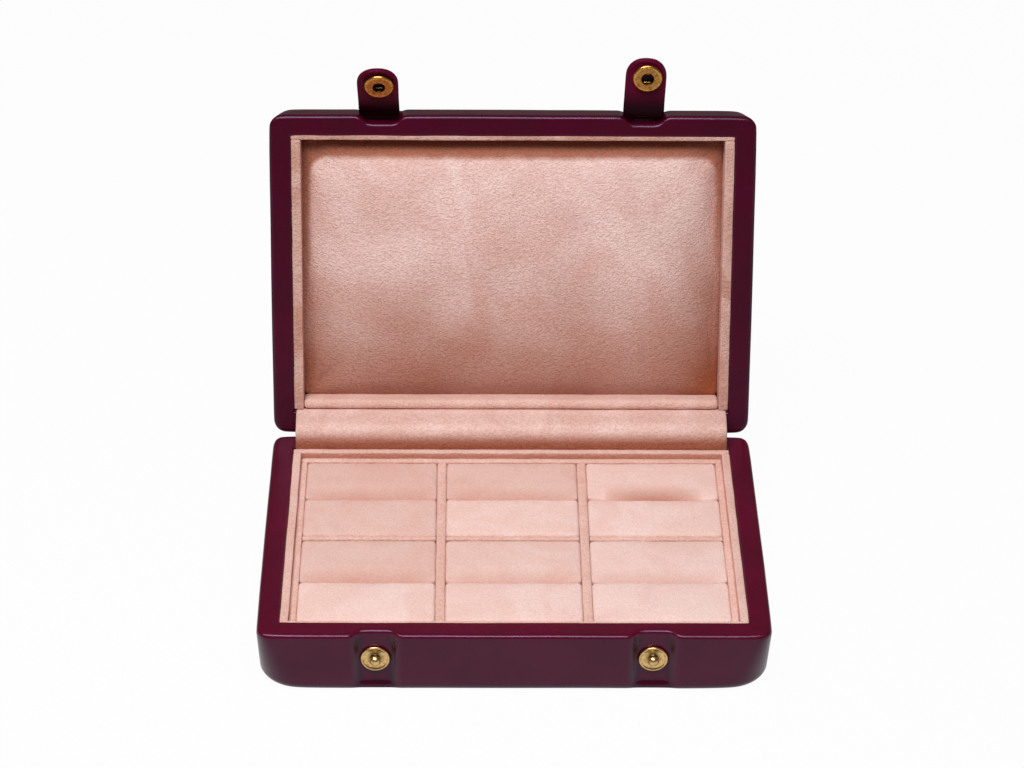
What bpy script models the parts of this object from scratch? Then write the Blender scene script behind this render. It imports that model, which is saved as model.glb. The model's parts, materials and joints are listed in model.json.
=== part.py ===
"""Leather-covered jewellery case with a six-cell ring tray, standing open.

The case is a shallow board base and a shallower board lid, both covered in smooth
leather and lined in suede. A leather strip outside and a suede cloth inside hinge
them along the back rim. Two leather straps on the lid's front wall close over snap
studs in the base's front wall. Six tray cells each hold a rear and a front pad that
grip a ring between them, and the lid carries a crowned cushion.

Units are metres. +X is the case's right, +Y its back and +Z up. The origin is the
centre of the underside of the base. Lid pieces are modelled with the lid shut and
turned to the open pose by the empty on the hinge axis; each strap is modelled hanging
straight down from an empty on its own root line.
"""

import math

import bmesh
import bpy

# Case
CASE_WIDTH = 0.180
CASE_DEPTH = 0.1232
BASE_HEIGHT = 0.025
LID_HEIGHT = 0.014
RIM_WIDTH = 0.0072
HINGE_RIM_WIDTH = 0.0092
RIM_CORNER_RADIUS = 0.008
FACE_CORNER_RADIUS = 0.0135
OPENING_CORNER_RADIUS = 0.0008
RIM_EDGE_RADIUS = 0.0015
RIM_LIP_RADIUS = 0.0007
FACE_FILLET = 0.005
FIT_GAP = 0.0003

# Leather cover and boards
LEATHER = 0.0009
LIP_DEPTH = 0.006
TURN_IN = 0.009
BASE_FLOOR = 0.0024
LID_PLATE = 0.0015

# Strap channels in both front walls
CHANNEL_INSET = 0.041
CHANNEL_MOUTH = 0.0184
CHANNEL_FLOOR = 0.016
CHANNEL_DEPTH = 0.0031

# Lid hinge
RIM_GAP = 0.0006
HINGE_OFFSET = 0.0008
LID_OPEN_ANGLE = math.radians(106.9)
HINGE_INSET = 0.008
HINGE_LEG = 0.0075
HINGE_CLOTH = 0.0008
CLOTH_SLOT_DEPTH = 0.005
CLOTH_LID_REACH = 0.0055
CLOTH_BASE_REACH = 0.0065
CLOTH_OVERHANG = 0.0015

# Suede lining strips of the base
BASE_SIDE_LINING = 0.0026
BASE_FRONT_LINING = 0.0016
BASE_BACK_LINING = 0.002
LINING_TOP_DROP = 0.0002
LINING_EDGE = 0.0007

# Suede lining strips and shelf of the lid
LID_SIDE_LINING = 0.0032
LID_FRONT_LINING = 0.0019
LID_SHELF = 0.005

# Tray
TRAY_DROP = 0.0027
TRAY_BOARD = 0.0015
TRAY_WALL = 0.0023
COLUMN_DIVIDER = 0.0033
ROW_DIVIDER = 0.002
TRAY_EDGE = 0.0006
CELL_COLUMNS = 3

# Ring pads
PAD_CROWN = 0.0006
PAD_DRAW = 0.0004
PAD_SLIT = 0.0004
OPEN_SLIT = 0.0016
PAD_FIRMNESS_SHARE = 0.6

# Lid cushion
CUSHION_BOARD = 0.0008
CUSHION_EDGE = 0.0023
CUSHION_CROWN = 0.0022
CUSHION_DRAW = 0.0012
CUSHION_FIRMNESS_SHARE = 0.25

# Straps
STRAP_WIDTH = 0.0152
STRAP_LENGTH = 0.0264
STRAP_THICKNESS = 0.0018
STRAP_ROOT_HEIGHT = 0.00525
STRAP_AXIS_DEPTH = 0.001
STRAP_SOCKET_REACH = 0.0178
STRAP_ANCHOR = 0.0026
STRAP_CLOSED_LEAN = math.radians(8)
LEFT_STRAP_BEND = math.radians(55.5)
RIGHT_STRAP_BEND = math.radians(73)

# Snap studs
STUD_RADIUS = 0.0052
STUD_RIM_HEIGHT = 0.0007
STUD_RIM_WIDTH = 0.0008
STUD_DISH = 0.0003
STUD_HEIGHT = 0.0034
STUD_BALL_RADIUS = 0.0018
STUD_NECK_RADIUS = 0.0015
STUD_SHANK_RADIUS = 0.0012
WASHER_RADIUS = 0.0034
WASHER_THICKNESS = 0.0008

# Snap sockets and caps
SOCKET_RADIUS = 0.0055
SOCKET_HEIGHT = 0.0011
SOCKET_BORE = 0.0021
SOCKET_COLLAR = 0.0006
SOCKET_EDGE = 0.0003
CAP_RADIUS = 0.0053
CAP_RIM = 0.0005
CAP_DOME = 0.0008

# Counts
CORNER_STEPS = 5
FILLET_STEPS = 4
EDGE_STEPS = 3
TURN_STEPS = 20
BALL_STEPS = 5
DOME_STEPS = 4
CLOTH_STEPS = 14
STRAP_END_STEPS = 12
PAD_CELLS = (4, 2, 2)
CUSHION_CELLS = (10, 7, 1)

# Levels and places that follow from the sizes
QUARTER = math.pi / 2
SKIN = LEATHER + FIT_GAP
CASE_FRONT = -CASE_DEPTH / 2
CASE_BACK = CASE_DEPTH / 2
LID_RIM = BASE_HEIGHT + RIM_GAP
HINGE_Y = CASE_BACK + HINGE_OFFSET
HINGE_Z = BASE_HEIGHT + RIM_GAP / 2
BACK_LINING_INSET = HINGE_RIM_WIDTH + HINGE_CLOTH + 2 * FIT_GAP
FRONT_LINING_INSET = RIM_WIDTH + FIT_GAP
BASE_FLOOR_TOP = SKIN + BASE_FLOOR
LID_CEILING = LID_HEIGHT - SKIN - LID_PLATE
HINGE_HALF_SPAN = CASE_WIDTH / 2 - HINGE_INSET
CHANNEL_CENTRES = {"left": CHANNEL_INSET - CASE_WIDTH / 2,
                   "right": CASE_WIDTH / 2 - CHANNEL_INSET}
STRAP_BENDS = {"left": LEFT_STRAP_BEND, "right": RIGHT_STRAP_BEND}
STUD_Z = LID_RIM + STRAP_ROOT_HEIGHT - STRAP_SOCKET_REACH * math.cos(STRAP_CLOSED_LEAN)


def clear_scene():
    """Remove whatever the open file holds."""
    for item in list(bpy.data.objects):
        bpy.data.objects.remove(item, do_unlink=True)


def new_collection(name):
    """A collection linked to the scene."""
    group = bpy.data.collections.new(name)
    bpy.context.scene.collection.children.link(group)
    return group


def new_material(name, colour, roughness, metallic=0.0):
    """A Principled material in one plain colour."""
    material = bpy.data.materials.new(name)
    material.use_nodes = True
    shader = material.node_tree.nodes["Principled BSDF"]
    shader.inputs["Base Color"].default_value = (*colour, 1.0)
    shader.inputs["Roughness"].default_value = roughness
    shader.inputs["Metallic"].default_value = metallic
    return material


clear_scene()
PARTS = new_collection("jewellery_case")
CUTTERS = new_collection("cutters")
BURGUNDY = new_material("burgundy_leather", (0.085, 0.006, 0.024), 0.36)
STRAP_LEATHER = new_material("strap_leather", (0.060, 0.005, 0.018), 0.42)
SUEDE = new_material("peach_suede", (0.80, 0.50, 0.40), 0.95)
PAD_SUEDE = new_material("pad_suede", (0.84, 0.55, 0.45), 0.95)
CLOTH_SUEDE = new_material("hinge_suede", (0.76, 0.46, 0.37), 0.95)
BOARD = new_material("grey_board", (0.30, 0.27, 0.24), 0.85)
BRASS = new_material("polished_brass", (0.72, 0.50, 0.22), 0.25, 1.0)


def new_pivot(name, location, parent=None, turn=0.0):
    """An empty on a joint axis, turned about +X to the open pose."""
    pivot = bpy.data.objects.new(name, None)
    PARTS.objects.link(pivot)
    pivot.parent = parent
    pivot.location = location
    pivot.rotation_euler = (turn, 0, 0)
    return pivot


LID_PIVOT = new_pivot("lid_hinge_axis", (0, HINGE_Y, HINGE_Z), turn=-LID_OPEN_ANGLE)


def place(obj, frame):
    """Hang a piece that is modelled in the shut case on the frame that moves it."""
    if frame is LID_PIVOT:
        obj.parent = LID_PIVOT
        obj.location = (obj.location.x, obj.location.y - HINGE_Y, obj.location.z - HINGE_Z)
    elif frame is not None:
        obj.parent = frame


def add_mesh(name, shape, material, frame=None):
    """Make a named piece from a bmesh and free the bmesh."""
    bmesh.ops.recalc_face_normals(shape, faces=shape.faces[:])
    mesh = bpy.data.meshes.new(name)
    shape.to_mesh(mesh)
    shape.free()
    mesh.materials.append(material)
    obj = bpy.data.objects.new(name, mesh)
    PARTS.objects.link(obj)
    place(obj, frame)
    return obj


def loft(rings, is_tube):
    """Skin outlines of equal count; a tube joins its last ring to its first."""
    shape = bmesh.new()
    rows = [[shape.verts.new(point) for point in ring] for ring in rings]
    joins = list(zip(rows, rows[1:] + rows[:1])) if is_tube else list(zip(rows, rows[1:]))
    for row, following in joins:
        for index, vertex in enumerate(row):
            after = (index + 1) % len(row)
            shape.faces.new((vertex, row[after], following[after], following[index]))
    if not is_tube:
        shape.faces.new(rows[0])
        shape.faces.new(rows[-1])
    return shape


def box_shape(low, high):
    """A cube primitive stretched between two corners."""
    shape = bmesh.new()
    bmesh.ops.create_cube(shape, size=1)
    size = [top - bottom for bottom, top in zip(low, high)]
    centre = [(top + bottom) / 2 for bottom, top in zip(low, high)]
    bmesh.ops.scale(shape, vec=size, verts=shape.verts)
    bmesh.ops.translate(shape, vec=centre, verts=shape.verts)
    return shape


def add_rounded_box(name, low, high, edge, material, frame=None):
    """A box with every edge rounded."""
    obj = add_mesh(name, box_shape(low, high), material, frame)
    bevel = obj.modifiers.new("rounded_edges", "BEVEL")
    bevel.width = edge
    bevel.segments = 2
    bevel.limit_method = "NONE"
    return obj


def smooth(obj, angle=math.radians(40)):
    """Shade a round piece smooth but keep its real edges."""
    obj.data.shade_smooth()
    obj.data.set_sharp_from_angle(angle=angle)


def arc_points(centre, radius, start, sweep, steps):
    """Points along a circular arc, both ends included."""
    angles = [start + sweep * step / steps for step in range(steps + 1)]
    return [(centre[0] + radius * math.cos(a), centre[1] + radius * math.sin(a)) for a in angles]


def channel_points(front, inset, depth):
    """The two strap channels in one outline's front edge, from left to right."""
    slope = (CHANNEL_MOUTH - CHANNEL_FLOOR) / 2
    flare = inset * (math.hypot(slope, CHANNEL_DEPTH) - slope) / CHANNEL_DEPTH
    mouth = CHANNEL_MOUTH / 2 + flare
    floor = CHANNEL_FLOOR / 2 + flare
    points = []
    for centre in CHANNEL_CENTRES.values():
        points.append((centre - mouth, front))
        points.append((centre - floor, front + depth))
        points.append((centre + floor, front + depth))
        points.append((centre + mouth, front))
    return points


def case_outline(inset, corner_radius, back_inset=None, is_channelled=True):
    """One level outline of the case, inset from its outer faces."""
    half_width = CASE_WIDTH / 2 - inset
    front = CASE_FRONT + inset
    back = CASE_BACK - (inset if back_inset is None else back_inset)
    depth = CHANNEL_DEPTH if is_channelled else 0
    left_x, right_x = -half_width + corner_radius, half_width - corner_radius
    front_y, back_y = front + corner_radius, back - corner_radius
    points = arc_points((left_x, front_y), corner_radius, 2 * QUARTER, QUARTER, CORNER_STEPS)
    points += channel_points(front, inset, depth)
    points += arc_points((right_x, front_y), corner_radius, 3 * QUARTER, QUARTER, CORNER_STEPS)
    points += arc_points((right_x, back_y), corner_radius, 0, QUARTER, CORNER_STEPS)
    points += arc_points((left_x, back_y), corner_radius, QUARTER, QUARTER, CORNER_STEPS)
    return points


class Half:
    """The base or the lid: outlines stated by inset and by depth from its rim plane."""

    def __init__(self, height, rim_level, direction):
        self.height = height
        self.rim_level = rim_level
        self.direction = direction

    def level(self, depth):
        """World height of a depth measured from the rim plane."""
        return self.rim_level + self.direction * depth

    def wall_ring(self, inset, depth):
        """A channelled outline whose corners grow from the rim to the far face."""
        growth = (FACE_CORNER_RADIUS - RIM_CORNER_RADIUS) * depth / self.height
        radius = RIM_CORNER_RADIUS + growth - inset
        return [(x, y, self.level(depth)) for x, y in case_outline(inset, radius)]

    def mouth_ring(self, inset, depth, margin=0):
        """A plain outline around the opening, with the wider rim at the hinge side."""
        back_inset = HINGE_RIM_WIDTH - RIM_WIDTH + inset
        radius = OPENING_CORNER_RADIUS + margin
        outline = case_outline(inset, radius, back_inset, is_channelled=False)
        return [(x, y, self.level(depth)) for x, y in outline]

    def fillet_rings(self, skin):
        """Rings round the far edge, from the far face up to the wall."""
        radius = FACE_FILLET - skin
        centre = (FACE_FILLET, self.height - FACE_FILLET)
        arc = arc_points(centre, radius, QUARTER, QUARTER, FILLET_STEPS)
        return [self.wall_ring(inset, depth) for inset, depth in arc]

    def cover_outside(self):
        """Leather rings from the far face, up the wall and over the rim to its lip."""
        rings = self.fillet_rings(0)
        edge = arc_points((RIM_EDGE_RADIUS, RIM_EDGE_RADIUS), RIM_EDGE_RADIUS,
                          2 * QUARTER, QUARTER, EDGE_STEPS)
        rings += [self.wall_ring(inset, depth) for inset, depth in edge]
        lip_centre = (RIM_WIDTH - RIM_LIP_RADIUS, RIM_LIP_RADIUS)
        lip = arc_points(lip_centre, RIM_LIP_RADIUS, -QUARTER, QUARTER, EDGE_STEPS)
        rings += [self.mouth_ring(inset, depth, RIM_WIDTH - inset) for inset, depth in lip]
        rings.append(self.mouth_ring(RIM_WIDTH, LIP_DEPTH))
        return rings

    def cover_inside(self):
        """Leather rings back from the lip's end to the far face."""
        rings = [self.mouth_ring(RIM_WIDTH - LEATHER, LIP_DEPTH, LEATHER)]
        rings.append(self.mouth_ring(RIM_WIDTH - LEATHER, LEATHER, LEATHER))
        rings.append(self.wall_ring(LEATHER, LEATHER))
        rings += reversed(self.fillet_rings(LEATHER))
        return rings

    def carcass_rings(self, plate):
        """Board rings from the far face, up the wall and down to the inside face."""
        rings = self.fillet_rings(SKIN)
        rings.append(self.wall_ring(SKIN, SKIN))
        inner = RIM_WIDTH - SKIN
        rings.append(self.mouth_ring(inner, SKIN, SKIN))
        rings.append(self.mouth_ring(inner, self.height - SKIN - plate, SKIN))
        return rings


BASE = Half(BASE_HEIGHT, BASE_HEIGHT, -1)
LID = Half(LID_HEIGHT, LID_RIM, 1)


def add_plate(name, ring_low, ring_high, material, frame=None):
    """A flat plate between two like outlines."""
    return add_mesh(name, loft([ring_low, ring_high], is_tube=False), material, frame)


def add_base_shell():
    """The base's board tray, its leather cover and the panel under it."""
    turned = [BASE.wall_ring(TURN_IN, BASE_HEIGHT)]
    folded = [BASE.wall_ring(TURN_IN, BASE_HEIGHT - LEATHER)]
    rings = turned + BASE.cover_outside() + BASE.cover_inside() + folded
    cover = add_mesh("base_leather_cover", loft(rings, is_tube=True), BURGUNDY)
    smooth(cover)
    rings = BASE.carcass_rings(BASE_FLOOR)
    carcass = add_mesh("base_carcass", loft(rings, is_tube=False), BOARD)
    panel_inset = TURN_IN + FIT_GAP
    lower = BASE.wall_ring(panel_inset, BASE_HEIGHT)
    upper = BASE.wall_ring(panel_inset, BASE_HEIGHT - LEATHER)
    add_plate("base_bottom_panel", lower, upper, BURGUNDY)
    for cutter in [add_rivet_cutter(side) for side in CHANNEL_CENTRES]:
        for piece in (cover, carcass):
            cut = piece.modifiers.new("rivet_hole", "BOOLEAN")
            cut.object = cutter
            cut.operation = "DIFFERENCE"
            cut.solver = "EXACT"


def add_rivet_cutter(side):
    """The rod that bores the front wall for one stud's shank."""
    shape = bmesh.new()
    radius = STUD_SHANK_RADIUS + FIT_GAP
    bmesh.ops.create_cone(shape, cap_ends=True, segments=TURN_STEPS,
                          radius1=radius, radius2=radius, depth=2 * RIM_WIDTH)
    mesh = bpy.data.meshes.new("rivet_cutter_" + side)
    shape.to_mesh(mesh)
    shape.free()
    cutter = bpy.data.objects.new("rivet_cutter_" + side, mesh)
    cutter.location = (CHANNEL_CENTRES[side], CASE_FRONT, STUD_Z)
    cutter.rotation_euler = (QUARTER, 0, 0)
    cutter.hide_render = True
    cutter.display_type = "WIRE"
    CUTTERS.objects.link(cutter)
    return cutter


def add_lid_shell():
    """The lid's board tray and its leather cover."""
    cover = LID.cover_outside() + LID.cover_inside()
    smooth(add_mesh("lid_leather_cover", loft(cover, is_tube=False), BURGUNDY, LID_PIVOT))
    add_mesh("lid_carcass", loft(LID.carcass_rings(LID_PLATE), is_tube=False), BOARD, LID_PIVOT)


def add_base_linings():
    """Four suede-covered strips standing on the base's floor inside the rim."""
    half_width = CASE_WIDTH / 2 - FRONT_LINING_INSET
    front = CASE_FRONT + FRONT_LINING_INSET
    back = CASE_BACK - BACK_LINING_INSET
    low = BASE_FLOOR_TOP + FIT_GAP
    top = BASE_HEIGHT - LINING_TOP_DROP
    front_face = front + BASE_FRONT_LINING
    back_face = back - BASE_BACK_LINING
    add_rounded_box("base_lining_front", (-half_width, front, low),
                    (half_width, front_face, top), LINING_EDGE, SUEDE)
    add_rounded_box("base_lining_back", (-half_width, back_face, low),
                    (half_width, back, top), LINING_EDGE, SUEDE)
    side_front, side_back = front_face + FIT_GAP, back_face - FIT_GAP
    inner = half_width - BASE_SIDE_LINING
    add_rounded_box("base_lining_left", (-half_width, side_front, low),
                    (-inner, side_back, top), LINING_EDGE, SUEDE)
    add_rounded_box("base_lining_right", (inner, side_front, low),
                    (half_width, side_back, top), LINING_EDGE, SUEDE)


TRAY_HALF_WIDTH = CASE_WIDTH / 2 - FRONT_LINING_INSET - BASE_SIDE_LINING - FIT_GAP
TRAY_FRONT = CASE_FRONT + FRONT_LINING_INSET + BASE_FRONT_LINING + FIT_GAP
TRAY_BACK = CASE_BACK - BACK_LINING_INSET - BASE_BACK_LINING - FIT_GAP
TRAY_LOW = BASE_FLOOR_TOP + FIT_GAP
TRAY_FLOOR_TOP = TRAY_LOW + TRAY_BOARD
TRAY_TOP = BASE_HEIGHT - TRAY_DROP
CELL_HALF_WIDTH = TRAY_HALF_WIDTH - TRAY_WALL
CELL_FRONT = TRAY_FRONT + TRAY_WALL
CELL_BACK = TRAY_BACK - TRAY_WALL
CELL_WIDTH = (2 * CELL_HALF_WIDTH - (CELL_COLUMNS - 1) * COLUMN_DIVIDER) / CELL_COLUMNS
CELL_DEPTH = (CELL_BACK - CELL_FRONT - ROW_DIVIDER) / 2
CELL_LEFTS = {
    name: -CELL_HALF_WIDTH + index * (CELL_WIDTH + COLUMN_DIVIDER)
    for index, name in enumerate(("left", "centre", "right"))
}
CELL_FRONTS = {"front": CELL_FRONT, "rear": CELL_BACK - CELL_DEPTH}


def add_tray():
    """The lift-out tray: its floor board, the frame round it and its dividers."""
    add_rounded_box("tray_floor", (-TRAY_HALF_WIDTH, TRAY_FRONT, TRAY_LOW),
                    (TRAY_HALF_WIDTH, TRAY_BACK, TRAY_FLOOR_TOP), TRAY_EDGE, BOARD)
    low = TRAY_FLOOR_TOP + FIT_GAP
    side_inner = CELL_HALF_WIDTH
    walls = {
        "front": ((-TRAY_HALF_WIDTH, TRAY_FRONT), (TRAY_HALF_WIDTH, CELL_FRONT)),
        "back": ((-TRAY_HALF_WIDTH, CELL_BACK), (TRAY_HALF_WIDTH, TRAY_BACK)),
        "left": ((-TRAY_HALF_WIDTH, CELL_FRONT + FIT_GAP), (-side_inner, CELL_BACK - FIT_GAP)),
        "right": ((side_inner, CELL_FRONT + FIT_GAP), (TRAY_HALF_WIDTH, CELL_BACK - FIT_GAP)),
    }
    for side, (near, far) in walls.items():
        add_rounded_box("tray_wall_" + side, (*near, low), (*far, TRAY_TOP), TRAY_EDGE, SUEDE)
    for side, column in (("left", "left"), ("right", "centre")):
        left = CELL_LEFTS[column] + CELL_WIDTH
        add_rounded_box("tray_column_divider_" + side, (left, CELL_FRONT + FIT_GAP, low),
                        (left + COLUMN_DIVIDER, CELL_BACK - FIT_GAP, TRAY_TOP),
                        TRAY_EDGE, SUEDE)
    for column, left in CELL_LEFTS.items():
        front = CELL_FRONT + CELL_DEPTH
        add_rounded_box("tray_row_divider_" + column, (left + FIT_GAP, front, low),
                        (left + CELL_WIDTH - FIT_GAP, front + ROW_DIVIDER, TRAY_TOP),
                        TRAY_EDGE, SUEDE)


def gridded_box(low, high, cells):
    """A box whose faces are cut into cells along X, Y and Z."""
    shape = box_shape(low, high)
    for axis, count in enumerate(cells):
        along = [edge for edge in shape.edges if is_along(edge, axis)]
        if count > 1:
            bmesh.ops.subdivide_edges(shape, edges=along, cuts=count - 1, use_grid_fill=True)
    return shape


def is_along(edge, axis):
    """Whether an edge of a box runs along one axis."""
    span = edge.verts[1].co - edge.verts[0].co
    return abs(span[axis]) == max(abs(part) for part in span)


def crease_box_edges(shape, firmness):
    """Hold the box's own edges against the softening, by the given share."""
    crease = shape.edges.layers.float.new("crease_edge")
    for edge in shape.edges:
        if edge.calc_face_angle() > QUARTER / 2:
            edge[crease] = firmness


def add_soft_block(name, low, high, cells, firmness, crown, draw, material,
                   frame=None, hollow=0, side=0):
    """A padded block: crowned on top, drawn in at mid height, one face hollowed.

    hollow draws the face on the given side (-1 front, 1 back) in at its middle.
    """
    shape = gridded_box(low, high, cells)
    shape.normal_update()
    crease_box_edges(shape, firmness)
    half = [(top - bottom) / 2 for bottom, top in zip(low, high)]
    centre = [(top + bottom) / 2 for bottom, top in zip(low, high)]
    for vertex in shape.verts:
        u, v, w = ((vertex.co[i] - centre[i]) / half[i] for i in range(3))
        middle = 1 - w * w
        vertex.co.x -= u * draw * middle
        vertex.co.y -= v * draw * middle
        if v * side > 0:
            vertex.co.y -= side * hollow * (1 - u * u) * (1 + w) / 2
        vertex.co.z += crown * (1 - u * u) * (1 - v * v) * (1 + w) / 2
    obj = add_mesh(name, shape, material, frame)
    rounding = obj.modifiers.new("soft_edges", "SUBSURF")
    rounding.levels = 1
    rounding.render_levels = 1
    obj.data.shade_smooth()
    return obj


def add_ring_pads():
    """A rear and a front suede pad in each of the six cells, meeting in a slit."""
    low = TRAY_FLOOR_TOP + FIT_GAP
    top = TRAY_TOP
    for row, cell_front in CELL_FRONTS.items():
        for column, left in CELL_LEFTS.items():
            right = left + CELL_WIDTH
            slit = cell_front + CELL_DEPTH / 2
            opening = OPEN_SLIT if (row, column) == ("rear", "right") else 0
            name = "ring_pad_" + row + "_" + column
            add_soft_block(name + "_near",
                           (left + FIT_GAP, cell_front + FIT_GAP, low),
                           (right - FIT_GAP, slit - PAD_SLIT / 2, top),
                           PAD_CELLS, PAD_FIRMNESS_SHARE, PAD_CROWN, PAD_DRAW, PAD_SUEDE,
                           hollow=opening, side=1)
            add_soft_block(name + "_far",
                           (left + FIT_GAP, slit + PAD_SLIT / 2, low),
                           (right - FIT_GAP, cell_front + CELL_DEPTH - FIT_GAP, top),
                           PAD_CELLS, PAD_FIRMNESS_SHARE, PAD_CROWN, PAD_DRAW, PAD_SUEDE)


LID_LINING_TOP = LID.level(LINING_TOP_DROP)
LID_LINING_ROOT = LID.level(LID_CEILING - FIT_GAP)
LID_INNER_HALF = CASE_WIDTH / 2 - FRONT_LINING_INSET - LID_SIDE_LINING
LID_INNER_FRONT = CASE_FRONT + FRONT_LINING_INSET + LID_FRONT_LINING
LID_INNER_BACK = CASE_BACK - BACK_LINING_INSET - LID_SHELF


def add_lid_linings():
    """Suede strips on the lid's front and sides, and the shelf along its hinge."""
    half_width = CASE_WIDTH / 2 - FRONT_LINING_INSET
    front = CASE_FRONT + FRONT_LINING_INSET
    back = CASE_BACK - BACK_LINING_INSET
    add_rounded_box("lid_lining_front", (-half_width, front, LID_LINING_TOP),
                    (half_width, LID_INNER_FRONT, LID_LINING_ROOT), LINING_EDGE, SUEDE, LID_PIVOT)
    side_front = LID_INNER_FRONT + FIT_GAP
    add_rounded_box("lid_lining_left", (-half_width, side_front, LID_LINING_TOP),
                    (-LID_INNER_HALF, back, LID_LINING_ROOT), LINING_EDGE, SUEDE, LID_PIVOT)
    add_rounded_box("lid_lining_right", (LID_INNER_HALF, side_front, LID_LINING_TOP),
                    (half_width, back, LID_LINING_ROOT), LINING_EDGE, SUEDE, LID_PIVOT)
    shelf_half = LID_INNER_HALF - FIT_GAP
    add_rounded_box("lid_hinge_shelf", (-shelf_half, LID_INNER_BACK, LID_LINING_TOP),
                    (shelf_half, back, LID_LINING_ROOT), LINING_EDGE, SUEDE, LID_PIVOT)


def add_lid_cushion():
    """The crowned cushion inside the lid, on its own board."""
    half_width = LID_INNER_HALF - FIT_GAP
    front = LID_INNER_FRONT + FIT_GAP
    back = LID_INNER_BACK - FIT_GAP
    board_back = LID_LINING_ROOT
    board_face = board_back - CUSHION_BOARD
    add_rounded_box("lid_cushion_board", (-half_width, front, board_face),
                    (half_width, back, board_back), CUSHION_BOARD / 3, BOARD, LID_PIVOT)
    cushion_back = board_face - FIT_GAP
    cushion = add_soft_block("lid_cushion", (-half_width, front, cushion_back - CUSHION_EDGE),
                             (half_width, back, cushion_back), CUSHION_CELLS,
                             CUSHION_FIRMNESS_SHARE, 0, CUSHION_DRAW, PAD_SUEDE, LID_PIVOT)
    crown_cushion(cushion.data, half_width, front, back, cushion_back)


def crown_cushion(mesh, half_width, front, back, cushion_back):
    """Swell the cushion's face, which looks down while the lid is shut."""
    middle = (front + back) / 2
    half_depth = (back - front) / 2
    for vertex in mesh.vertices:
        u = vertex.co.x / half_width
        v = (vertex.co.y - middle) / half_depth
        faceward = (cushion_back - vertex.co.z) / CUSHION_EDGE
        vertex.co.z -= CUSHION_CROWN * faceward * (1 - u ** 4) * (1 - v ** 4)


def opened(y, z):
    """A place stated in the shut case, carried round by the opening lid."""
    across, up = y - HINGE_Y, z - HINGE_Z
    cosine, sine = math.cos(LID_OPEN_ANGLE), math.sin(LID_OPEN_ANGLE)
    return HINGE_Y + across * cosine + up * sine, HINGE_Z - across * sine + up * cosine


def bezier_point(points, share):
    """A point of the cubic curve through two ends and their two handles."""
    rest = 1 - share
    weights = (rest ** 3, 3 * rest * rest * share, 3 * rest * share * share, share ** 3)
    return tuple(sum(weight * point[i] for weight, point in zip(weights, points)) for i in (0, 1))


def add_hinge_cloth():
    """Suede cloth from the slot in the lid, over both rims, to the slot in the base."""
    slot_y = CASE_BACK - HINGE_RIM_WIDTH - FIT_GAP - HINGE_CLOTH / 2
    lid_mouth = opened(slot_y, LID_RIM)
    lid_reach = opened(slot_y, LID_RIM - CLOTH_LID_REACH)
    base_mouth = (slot_y, BASE_HEIGHT)
    base_reach = (slot_y - CLOTH_OVERHANG, BASE_HEIGHT + CLOTH_BASE_REACH)
    handles = (lid_mouth, lid_reach, base_reach, base_mouth)
    path = [opened(slot_y, LID_RIM + CLOTH_SLOT_DEPTH)]
    path += [bezier_point(handles, step / CLOTH_STEPS) for step in range(CLOTH_STEPS + 1)]
    path.append((slot_y, BASE_HEIGHT - CLOTH_SLOT_DEPTH))
    shape = bmesh.new()
    ends = (-HINGE_HALF_SPAN, HINGE_HALF_SPAN)
    rows = [[shape.verts.new((x, y, z)) for y, z in path] for x in ends]
    for index in range(len(path) - 1):
        corners = (rows[0][index], rows[1][index], rows[1][index + 1], rows[0][index + 1])
        shape.faces.new(corners)
    cloth = add_mesh("hinge_cloth", shape, CLOTH_SUEDE)
    body = cloth.modifiers.new("cloth_body", "SOLIDIFY")
    body.thickness = HINGE_CLOTH
    body.offset = 0
    cloth.data.shade_smooth()


def add_hinge_leather():
    """The leather strip outside the back walls, folded in the open lid's corner."""
    near = CASE_BACK + FIT_GAP
    far = near + LEATHER
    past_axis = far - HINGE_Y
    fold_drop = past_axis * (1 + math.cos(math.pi - LID_OPEN_ANGLE)) / math.sin(LID_OPEN_ANGLE)
    outline = [
        (near, BASE_HEIGHT - HINGE_LEG),
        (far, BASE_HEIGHT - HINGE_LEG),
        (far, HINGE_Z - fold_drop),
        opened(far, LID_RIM + HINGE_LEG),
        opened(near, LID_RIM + HINGE_LEG),
        opened(near, LID_RIM),
        (near, BASE_HEIGHT),
    ]
    ends = [[(x, y, z) for y, z in outline] for x in (-HINGE_HALF_SPAN, HINGE_HALF_SPAN)]
    add_mesh("hinge_leather", loft(ends, is_tube=False), BURGUNDY)


def turned(name, profile, is_loop, material, frame, location, tilt):
    """A turned piece: a profile screwed round Z, then tipped to face the wall or strap."""
    mesh = bpy.data.meshes.new(name)
    count = len(profile)
    edges = [(index, index + 1) for index in range(count - 1)]
    if is_loop:
        edges.append((count - 1, 0))
    mesh.from_pydata([(radius, 0, height) for radius, height in profile], edges, [])
    mesh.materials.append(material)
    obj = bpy.data.objects.new(name, mesh)
    PARTS.objects.link(obj)
    obj.location = location
    obj.rotation_euler = (tilt, 0, 0)
    place(obj, frame)
    spin = obj.modifiers.new("turned", "SCREW")
    spin.steps = TURN_STEPS
    spin.render_steps = TURN_STEPS
    spin.use_merge_vertices = True
    spin.merge_threshold = STUD_DISH / 10
    spin.use_smooth_shade = True
    return obj


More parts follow.
